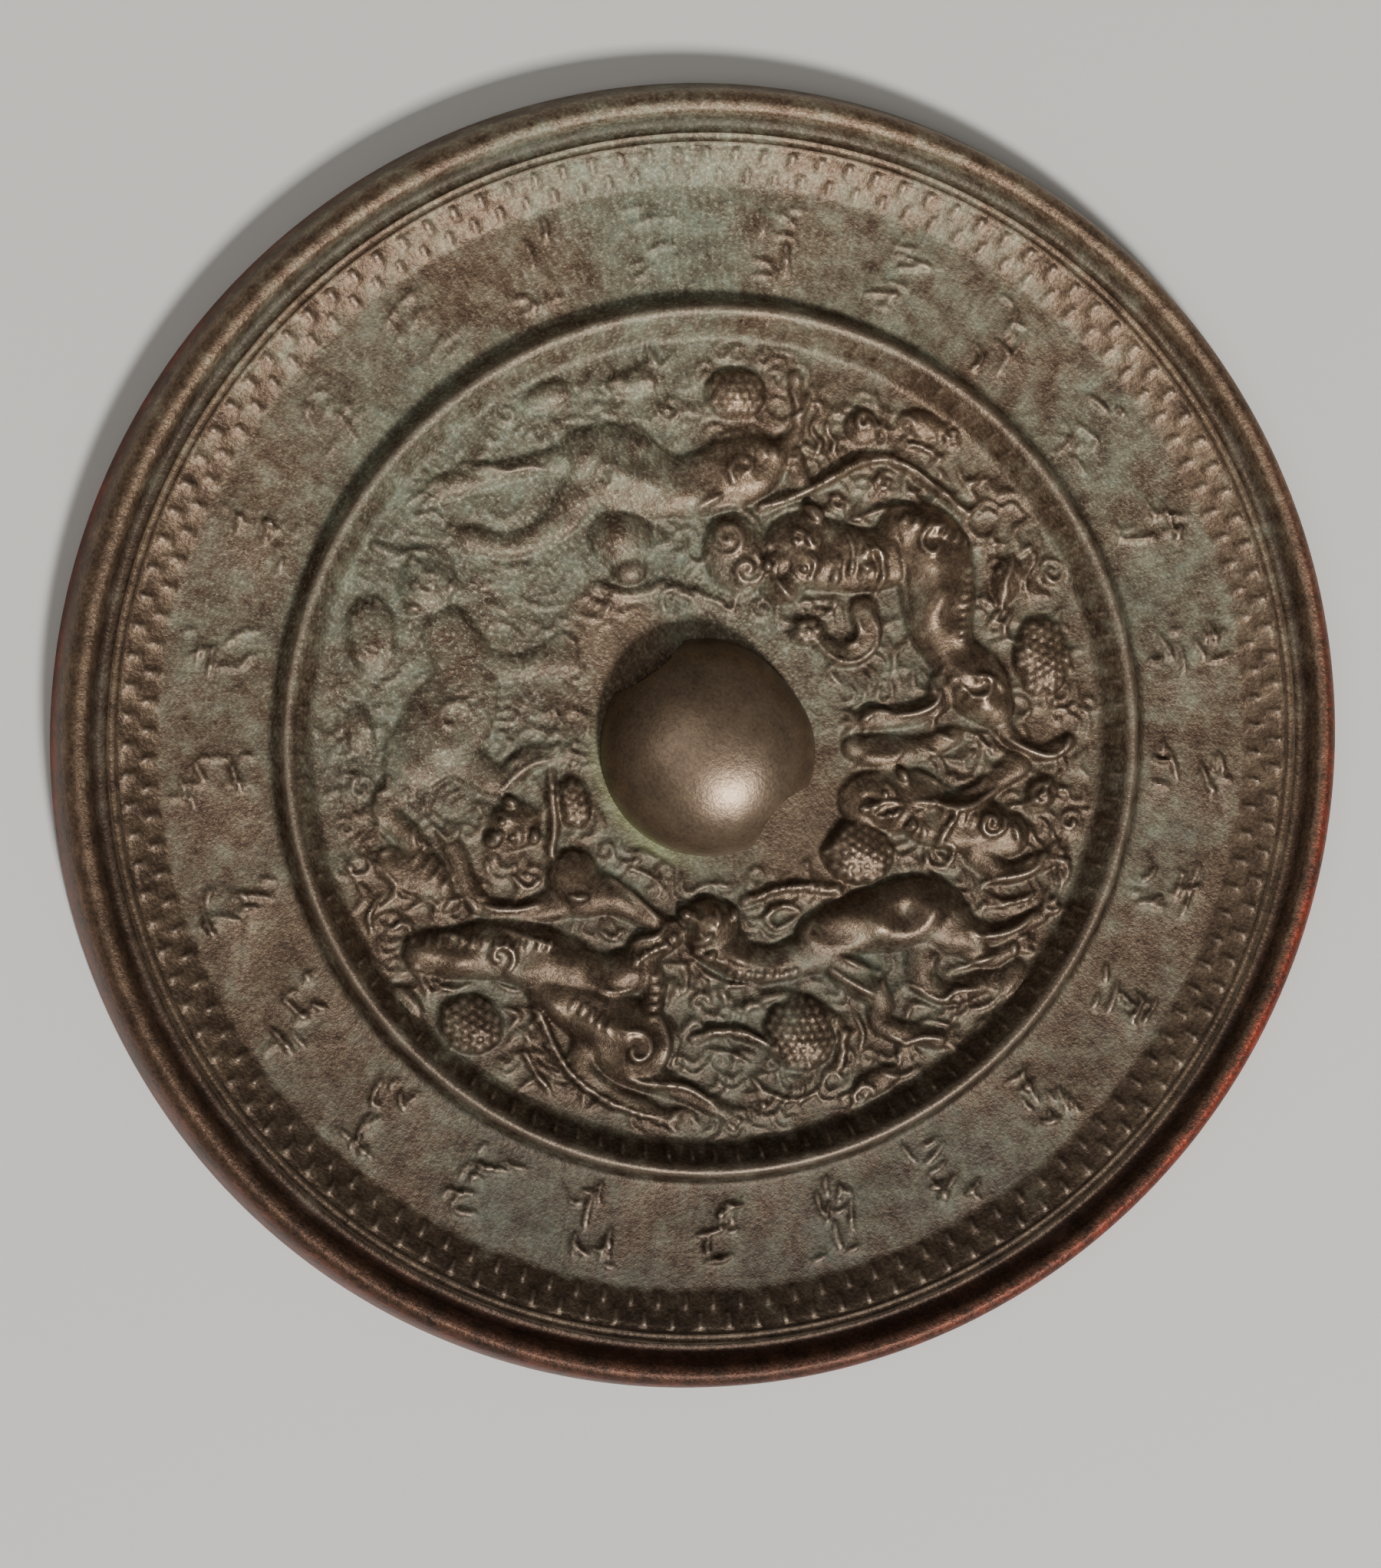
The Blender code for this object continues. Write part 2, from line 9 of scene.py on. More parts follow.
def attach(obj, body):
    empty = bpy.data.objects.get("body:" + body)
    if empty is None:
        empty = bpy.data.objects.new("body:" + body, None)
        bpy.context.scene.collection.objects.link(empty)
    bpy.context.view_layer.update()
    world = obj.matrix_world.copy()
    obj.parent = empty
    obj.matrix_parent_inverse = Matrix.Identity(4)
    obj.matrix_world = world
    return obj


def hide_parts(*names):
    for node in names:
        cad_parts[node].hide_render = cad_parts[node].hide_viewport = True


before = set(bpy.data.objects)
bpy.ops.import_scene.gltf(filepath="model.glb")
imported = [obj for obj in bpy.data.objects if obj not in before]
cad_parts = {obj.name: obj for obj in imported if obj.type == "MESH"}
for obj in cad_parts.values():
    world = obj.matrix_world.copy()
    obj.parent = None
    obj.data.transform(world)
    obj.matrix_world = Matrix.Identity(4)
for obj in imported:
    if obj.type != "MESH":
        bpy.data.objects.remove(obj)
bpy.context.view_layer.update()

# The plate and its rings
# The mirror is one pour of high-tin bronze, cast in a two-part mould with its back cut into the one half.
# Field, ridge, band, toothed slope and rim are one turned profile, as radius and height over the polished
# face in mm; the last points, from SURFACE on, are the outer wall.
MM = 0.001
RIM = 93.0
KNOB = 15.5
KNOB_TOP = 15.0
FIELD_LEVEL = 3.0
BAND_IN = 63.2
BAND_OUT = 78.6
CHANNEL_TURN = math.radians(48.0)
PROFILE = np.array((
    (0.0, 3.0), (56.6, 3.0), (57.4, 3.35), (60.0, 6.6), (60.5, 6.95), (61.1, 7.0), (61.5, 6.7), (62.9, 4.15),
    (63.6, 4.0), (78.2, 4.0), (78.8, 4.1), (83.3, 5.95), (84.0, 6.0), (84.3, 6.35), (84.6, 6.05),
    (85.2, 6.1), (85.5, 6.4), (85.8, 6.05), (86.4, 5.85), (86.9, 5.95), (87.6, 6.7), (88.3, 8.2),
    (88.8, 8.5), (89.6, 8.7), (90.0, 8.65), (90.7, 8.2), (91.3, 7.5), (92.0, 5.4),
    (92.99, 0.9), (92.9, 0.3), (92.5, 0.0)))
SURFACE = 28

# The cutter's strokes
# The relief was carved into the mould's clay as rounded hollows, lines and curls, which stand out on the
# bronze. Each kind of stroke raises one such form on a grid of heights over the rings, in mm.
STEP = 0.25
HALF = int(RIM / STEP) + 4
TINY = 1e-9
axis = np.arange(-HALF, HALF + 1) * STEP
grid_x, grid_y = np.meshgrid(axis, axis, indexing="ij")
lift = np.zeros_like(grid_x)


def window(xs, ys, reach):
    """The part of the grid around some points."""
    low_x, high_x, low_y, high_y = (int(np.clip(round(v / STEP) + HALF, 0, 2 * HALF)) for v in (
        min(xs) - reach, max(xs) + reach, min(ys) - reach, max(ys) + reach))
    return slice(low_x, high_x + 1), slice(low_y, high_y + 1)


def curve(stations, steps=5):
    """A smooth run through stations, each a tuple of numbers."""
    p = np.array(stations, float)
    ends = np.vstack([2 * p[0] - p[1], p, 2 * p[-1] - p[-2]])
    t = np.linspace(0.0, 1.0, steps, endpoint=False)[:, None]
    rows = [b + 0.5 * ((c - a) * t + (2 * a - 5 * b + 4 * c - d) * t**2 + (3 * b - a - 3 * c + d) * t**3)
            for a, b, c, d in zip(ends, ends[1:], ends[2:], ends[3:])]
    return np.vstack(rows + [p[-1:]])


def blend(old, new, soft):
    """The higher of two forms, with a small fillet where they meet; bare ground stays bare."""
    reach = np.minimum(soft, 1.5 * np.minimum(old, new)) + TINY
    share = np.clip(0.5 + 0.5 * (new - old) / reach, 0.0, 1.0)
    return old * (1.0 - share) + new * share + 0.5 * reach * share * (1.0 - share)


def along(line, reach):
    """For the grid near a line: the window, each point's distance from the line and its share of the way."""
    spot = window(line[:, 0], line[:, 1], reach)
    x, y = grid_x[spot], grid_y[spot]
    best = np.full(x.shape, 1e9)
    share = np.zeros(x.shape)
    for i, (a, b) in enumerate(zip(line, line[1:])):
        dx, dy = b[0] - a[0], b[1] - a[1]
        t = np.clip(((x - a[0]) * dx + (y - a[1]) * dy) / (dx * dx + dy * dy + 1e-12), 0.0, 1.0)
        away = np.hypot(x - a[0] - dx * t, y - a[1] - dy * t)
        closer = away < best
        best[closer] = away[closer]
        share[closer] = (i + t[closer]) / (len(line) - 1)
    return spot, best, share


def limb(stations, rise, soft=0.4):
    """A round, tapering form along stations of (x, y, radius); a thin one stays lower than the full rise."""
    fullness, fall = 1.25, 0.58
    line = curve(stations)
    spot = window(line[:, 0], line[:, 1], line[:, 2].max())
    x, y = grid_x[spot], grid_y[spot]
    new = np.zeros(x.shape)
    for a, b in zip(line, line[1:]):
        step = b - a
        t = ((x - a[0]) * step[0] + (y - a[1]) * step[1]) / (step[0]**2 + step[1]**2 + 1e-12)
        t = np.clip(t, 0.0, 1.0)
        radius = np.maximum(a[2] + step[2] * t, 0.05)
        away = ((x - a[0] - step[0] * t)**2 + (y - a[1] - step[1] * t)**2) / radius**2
        top = rise * (1.0 - np.exp(-fullness * radius / rise))
        new = np.maximum(new, top * np.maximum(1.0 - away, 0.0)**fall)
    lift[spot] = blend(lift[spot], new, soft)


def oval(place, half, turn, rise, soft=0.3):
    """A round hump with two half widths."""
    fall = 0.6
    c, s = math.cos(math.radians(turn)), math.sin(math.radians(turn))
    spot = window([place[0]], [place[1]], max(half))
    dx, dy = grid_x[spot] - place[0], grid_y[spot] - place[1]
    away = ((dx * c + dy * s) / half[0])**2 + ((dy * c - dx * s) / half[1])**2
    lift[spot] = blend(lift[spot], rise * np.maximum(1.0 - away, 0.0)**fall, soft)


def stroke(points, width=0.9, rise=0.6, taper=0.85):
    """A raised line, or a cut one where the rise is negative, laid over what is there."""
    deepest = -0.25
    spot, away, share = along(curve(points, 4), 1.5 * width)
    size = 1.0 - taper * np.abs(2.0 * share - 1.0)**4
    lift[spot] = np.maximum(lift[spot] + rise * size * np.exp(-(away / (0.55 * width * size))**2), deepest)


def spiral(x, y, radius, start, turns, width=0.85, rise=0.7):
    """A curl that winds inward; a negative number of turns winds the other way."""
    inward = 0.85
    count = max(6, int(abs(turns) * 9))
    points = []
    for i in range(count + 1):
        f = i / count
        angle = math.radians(start) + 2 * math.pi * turns * f
        reach = radius * (1 - inward * f)
        points.append((x + reach * math.cos(angle), y + reach * math.sin(angle)))
    stroke(points, width, rise, 0.3)


ROW = 0.866  # distance of rows that lie in each other's gaps, as a share of the spacing in a row


def grapes(x, y, long, wide, turn):
    """A grape cluster: berries in close rows on a low mound."""
    berry, mound, berry_rise = 1.35, 1.5, 0.6
    oval((x, y), (1.1 * long, 1.1 * wide), turn, mound)
    c, s = math.cos(math.radians(turn)), math.sin(math.radians(turn))
    rows = int(wide / (berry * ROW)) + 1
    for j in range(-rows, rows + 1):
        for i in range(-int(long / berry) - 1, int(long / berry) + 2):
            u, v = (i + 0.5 * (j % 2)) * berry, j * berry * ROW
            if (u / long)**2 + (v / wide)**2 > 0.96:
                continue
            bx, by = x + u * c - v * s, y + u * s + v * c
            spot = window([bx], [by], berry * 0.55)
            away = ((grid_x[spot] - bx)**2 + (grid_y[spot] - by)**2) / (0.54 * berry)**2
            lift[spot] += berry_rise * np.maximum(1.0 - away, 0.0)**0.6


# The beasts and the vine
# Eight beasts crouch and leap in a ring among grape vines, cut into the mould and cast with the plate.
# Each form is a run of stations (x, y, half width) after its rise; grapes, hair and claws lie over them.
FIGURES = (
    # the beast above the knob: body, two reaching legs, one hind leg and tail
    (3.5, (-19.5, 41.0, 2.8), (-14.8, 38.6, 6.0), (-5.5, 35.8, 4.3), (3.5, 38.4, 5.0), (8.5, 40.2, 2.4)),
    (1.9, (-18.0, 40.0, 3.0), (-24.5, 39.2, 1.7), (-31.0, 37.8, 1.6), (-39.0, 35.6, 1.9)),
    (2.0, (-19.0, 35.5, 3.2), (-23.0, 30.4, 2.2), (-29.0, 27.6, 1.8), (-35.0, 28.4, 2.1)),
    (1.8, (5.0, 38.0, 3.0), (10.4, 40.8, 1.6), (12.0, 37.4, 1.7)),
    (1.8, (8.0, 40.4, 1.8), (11.2, 43.4, 1.2), (12.0, 47.0, 1.1), (11.2, 51.6, 1.1)),
    # the great beast at the right: neck, body to the haunch, foreleg, tail, and the curled jaw
    (3.0, (26.5, 26.5, 4.4), (21.0, 25.8, 4.6), (15.5, 26.6, 5.2)),
    (4.0, (27.2, 30.2, 3.6), (31.0, 28.0, 5.4), (32.4, 22.5, 5.7), (32.8, 16.8, 4.8), (34.8, 12.4, 3.7),
     (38.2, 8.2, 4.7), (41.0, 4.6, 3.0)),
    (1.9, (34.0, 8.0, 2.8), (32.0, 5.0, 1.8), (28.0, 3.6, 1.6), (22.0, 3.0, 1.8)),
    (1.7, (41.0, 4.6, 2.2), (43.2, 0.8, 1.4), (47.6, -2.0, 1.2), (52.2, -0.4, 1.2)),
    (2.0, (21.6, 18.6, 2.2), (22.4, 14.6, 1.8), (18.8, 12.2, 1.6), (15.4, 14.0, 1.4)),
    # the small beast at the right, under the tail: fur, body, two limbs
    (1.8, (20.5, -1.0, 2.0), (25.0, -1.6, 2.6), (30.0, -1.4, 2.0), (35.0, 0.6, 1.5)),
    (2.8, (31.0, -11.6, 3.4), (37.0, -12.0, 4.3), (43.0, -13.6, 3.4)),
    (1.8, (39.0, -16.0, 2.6), (43.0, -19.2, 1.7), (49.0, -17.4, 1.5)),
    (1.8, (37.0, -9.0, 2.2), (41.0, -6.2, 1.7), (44.4, -3.6, 2.2)),
    # the leaping beast at the lower right: body, long neck, foreleg, two hind legs and rump
    (4.2, (15.0, -28.6, 3.3), (19.8, -26.6, 4.2), (25.8, -25.4, 5.0), (31.0, -24.6, 5.3), (34.8, -27.0, 3.8),
     (38.6, -29.2, 2.0)),
    (2.9, (15.0, -30.2, 3.2), (9.0, -31.7, 2.7), (4.0, -31.2, 2.9), (-0.2, -28.0, 3.6)),
    (2.6, (17.0, -30.0, 3.0), (20.8, -34.2, 2.5), (24.4, -37.0, 2.0), (25.0, -41.0, 1.7),
     (33.0, -43.0, 1.6)),
    (2.0, (30.6, -29.5, 2.8), (30.6, -34.0, 1.9), (34.6, -36.6, 1.6), (39.4, -35.4, 1.4)),
    (1.8, (36.0, -28.5, 2.4), (40.5, -31.4, 1.6), (44.0, -30.0, 1.4)),
    (1.9, (37.0, -27.4, 2.2), (42.0, -28.2, 1.5), (48.2, -25.4, 1.3)),
    # the crouching beast at the bottom: body to the round haunch and two feet
    (3.8, (-24.0, -34.8, 3.0), (-18.0, -38.0, 4.4), (-11.8, -42.6, 6.1)),
    (1.9, (-12.6, -46.6, 2.6), (-6.0, -49.0, 1.7), (1.6, -52.8, 1.3)),
    (1.8, (-17.6, -42.0, 2.8), (-18.4, -47.0, 1.8), (-7.6, -53.4, 1.4)),
    # the long beast at the lower left: body, knobbly brow and jaw
    (3.1, (-42.0, -29.6, 2.6), (-36.5, -29.6, 3.6), (-30.0, -29.0, 4.6), (-23.5, -31.2, 4.6),
     (-17.0, -33.4, 3.6), (-12.0, -32.6, 3.2)),
    (3.4, (-11.6, -31.6, 2.4), (-9.0, -29.0, 2.4), (-5.6, -27.2, 1.9)),
    (2.8, (-10.0, -31.6, 2.3), (-8.6, -34.8, 1.8), (-9.2, -38.4, 1.8)),
    # its hump and the limbs that spread from it
    (3.2, (-20.4, -18.8, 3.8), (-19.4, -21.0, 3.8), (-14.6, -22.0, 2.4), (-8.0, -25.8, 1.5)),
    (1.8, (-22.0, -22.6, 2.4), (-28.0, -24.0, 1.6), (-34.0, -22.2, 1.6), (-37.4, -14.8, 1.6)),
    # the worn beast at the left: body, limbs and paw
    (2.0, (-38.0, 15.4, 3.8), (-35.6, 9.4, 4.6), (-38.0, 3.0, 6.2), (-42.4, -2.0, 4.8)),
    (1.6, (-36.0, -2.4, 3.0), (-30.6, -5.6, 2.2), (-26.8, -2.4, 1.9), (-22.6, -1.8, 1.8)),
    (1.4, (-43.0, -4.0, 3.0), (-47.0, -9.0, 2.0), (-43.6, -13.0, 1.8)),
    (1.2, (-33.0, 11.0, 2.4), (-27.6, 10.6, 1.8), (-22.0, 12.2, 2.8)),
    (1.3, (-46.0, -17.0, 2.6), (-41.6, -18.4, 3.4), (-38.0, -22.0, 2.0)),
)

# Skulls, haunches, grape mounds and leaf knots: centre, two half widths, bearing and rise
HUMPS = (
    (-13.6, 28.6, 4.6, 4.4, 0, 2.9), (-12.4, 24.4, 2.6, 2.4, 0, 2.4), (2.8, 26.6, 6.0, 4.6, 105, 2.6),
    (12.6, 27.2, 5.8, 5.6, 0, 3.2), (9.6, 22.4, 3.4, 3.0, 0, 2.6), (26.2, -8.6, 8.2, 4.4, 4, 2.6),
    (-0.6, -26.2, 4.3, 4.2, 0, 3.4), (-41.2, 22.0, 4.2, 4.0, 0, 2.2), (-29.0, -11.8, 4.2, 3.4, 30, 2.0),
    (2.7, 49.2, 4.5, 3.7, 0, 2.1), (48.0, 12.0, 5.8, 4.2, 95, 2.1), (-48.8, 15.0, 5.6, 3.8, 95, 1.9),
    (-20.2, -8.6, 3.9, 2.5, 100, 1.8), (20.8, -15.8, 5.6, 4.6, 150, 2.3),
    (12.7, -41.8, 5.6, 5.2, 120, 2.3), (-34.8, -39.6, 4.8, 4.2, 150, 1.9),
    (48.0, -8.0, 3.2, 2.2, 60, 1.4), (42.8, 23.0, 3.6, 2.2, 80, 1.4), (21.2, 44.6, 2.6, 2.6, 0, 1.5),
    (30.0, 45.2, 3.4, 2.0, 160, 1.3), (-44.0, -36.6, 3.2, 2.0, 130, 1.3),
    (-24.0, 48.6, 3.8, 2.0, 20, 1.3), (44.0, -34.6, 3.2, 2.0, 60, 1.3),
    (24.0, -49.0, 3.8, 2.0, 25, 1.3), (-50.6, 2.0, 3.4, 2.0, 95, 1.3), (-12.0, 50.6, 3.8, 2.0, 10, 1.3),
)

# Vine stems, as runs of places, and the grape clusters: centre, two half widths and bearing
VINES = (
    ((6.6, 33.2), (14.6, 36.4), (24.4, 40.4), (36.6, 32.6)),
    ((-2.8, -42.2), (1.6, -41.2), (6.0, -42.4), (9.6, -44.6)),
    ((3.8, -38.2), (11.0, -36.4), (18.4, -40.6), (18.6, -46.6)),
    ((-25.4, -37.2), (-22.6, -44.4), (-16.0, -50.4), (-7.4, -53.4)),
    ((-16.8, 21.8), (-12.4, 20.8), (-7.2, 21.8), (-3.0, 20.6)),
    ((4.6, -22.8), (8.8, -21.2), (13.0, -20.8), (18.0, -21.4)),
    ((-48.4, 27.4), (-44.6, 26.2), (-40.4, 26.6), (-36.8, 21.8)),
    ((-23.6, -3.4), (-23.2, -8.0), (-23.0, -12.0), (-23.4, -16.0)),
)
CLUSTERS = (
    (2.7, 49.2, 4.1, 3.3, 0), (48.0, 12.0, 5.4, 3.8, 95), (-48.8, 15.0, 5.2, 3.4, 95),
    (-20.2, -8.6, 3.6, 2.2, 100), (20.8, -15.8, 5.2, 4.2, 150), (12.7, -41.8, 5.2, 4.8, 120),
    (-34.8, -39.6, 4.4, 3.8, 150), (13.4, 15.6, 2.6, 1.9, 10))

VINE_HALF, VINE_RISE = 0.9, 1.5
for points in VINES:
    limb([(*p, VINE_HALF) for p in points], VINE_RISE, 0.2)
for rise, *stations in sorted(FIGURES, key=lambda figure: figure[0]):
    limb(stations, rise, 0.5)
for x, y, long, wide, turn, rise in HUMPS:
    oval((x, y), (long, wide), turn, rise)
forms = lift.copy()
for x, y, long, wide, turn in CLUSTERS:
    grapes(x, y, long, wide, turn)


def head_of(x, y, radius, look):
    """A beast's face on its skull: muzzle, brows, eyes and ears; look is the way that it faces."""
    c, s = math.cos(math.radians(look)), math.sin(math.radians(look))

    def place(u, v):
        return x + radius * (u * c - v * s), y + radius * (u * s + v * c)

    oval(place(0.75, 0.0), (0.5 * radius, 0.45 * radius), look, 2.7)
    for side in (-1, 1):
        oval(place(-0.45, 0.8 * side), (0.34 * radius, 0.24 * radius), look + 60 * side, 3.0)
        stroke([place(-0.05, 0.12 * side), place(0.05, 0.45 * side), place(0.3, 0.8 * side)], 0.8, 0.6)
        oval(place(0.3, 0.36 * side), (0.15 * radius, 0.14 * radius), look, 3.7, 0.1)
        stroke([place(0.55, 0.1 * side), place(0.8, 0.36 * side), place(1.15, 0.3 * side)], 0.55, -0.5)
    oval(place(1.1, 0.0), (0.18 * radius, 0.24 * radius), look, 3.0, 0.1)


def paw(x, y, turn):
    """Three claws at the end of a limb."""
    for k in (-1, 0, 1):
        angle = math.radians(turn + 32 * k)
        c, s = math.cos(angle), math.sin(angle)
        claw = [(x + out * c, y + out * s, half) for out, half in ((0.3, 0.9), (1.8, 0.75), (3.0, 0.35))]
        limb(claw, 1.9, 0.1)


# Faces: centre, radius, way it looks
for face in ((13.2, 27.0, 5.6, 200), (-0.6, -26.6, 4.0, 150), (-41.2, 21.8, 3.8, 120),
             (-29.0, -11.6, 3.6, 215), (26.0, -8.8, 4.2, 190)):
    head_of(*face)
# Claws: end of the limb and the way they reach
for claws in (
        (-39.4, 35.4, 195), (-35.4, 28.4, 175), (12.2, 37.0, -50), (21.6, 2.8, 185), (49.4, -17.2, 25),
        (33.4, -43.0, 0), (39.6, -35.4, 10), (44.4, -29.8, 15), (1.8, -53.0, -30), (-7.2, -53.4, -15),
        (-22.2, -1.8, 5), (-43.2, -13.4, -60), (-37.6, -14.4, 100), (-7.6, -26.0, -35), (28.0, -43.4, -70),
        (48.6, -25.0, 45)):
    paw(*claws)
# Curls: centre, radius, first bearing, turns
for curl in (
        (-16.0, 37.2, 2.2, 0, 1.3), (1.3, 29.0, 2.9, 200, 1.4), (4.2, 24.4, 2.6, 60, -1.3),
        (11.6, 28.9, 1.2, 0, 1.0), (14.0, 28.7, 1.2, 90, 1.0), (21.3, 45.3, 1.7, 0, 1.0),
        (24.7, 37.0, 1.5, 40, 1.0), (18.0, 33.8, 1.3, 90, 1.0), (33.4, -16.2, 2.6, 150, 1.4),
        (40.2, -11.8, 2.2, 20, -1.2), (-2.0, -37.3, 1.5, 0, 1.0), (-41.0, 22.0, 2.0, 30, 1.2),
        (38.4, 8.4, 2.6, 200, 0.9), (-11.6, -43.4, 3.0, 120, -0.9), (31.4, 28.2, 3.0, 60, 0.8),
        (3.8, 38.6, 2.6, 230, -0.8), (-37.6, 3.4, 3.0, 10, 0.9), (48.0, -8.0, 1.8, 80, 1.1),
        (27.3, 45.2, 1.2, 0, 1.0), (34.3, 44.0, 1.3, 90, 1.0), (-31.0, -30.0, 2.4, 300, 0.9),
        (22.0, 25.4, 2.4, 20, 0.8), (-50.4, -6.4, 2.0, 0, 1.2), (49.6, 24.0, 2.0, 120, -1.2),
        (-30.0, 46.2, 2.0, 60, 1.2), (40.6, -41.4, 2.0, 0, -1.2), (-42.6, 41.0, 2.0, 0, 1.2),
        (-50.8, -17.0, 1.9, 40, -1.2), (52.6, -12.0, 1.7, 40, 1.1), (-6.6, 47.2, 2.0, 200, 1.2),
        (-40.8, 8.0, 1.8, 90, 1.0), (21.8, -51.0, 1.8, 0, 1.2)):
    spiral(*curl)

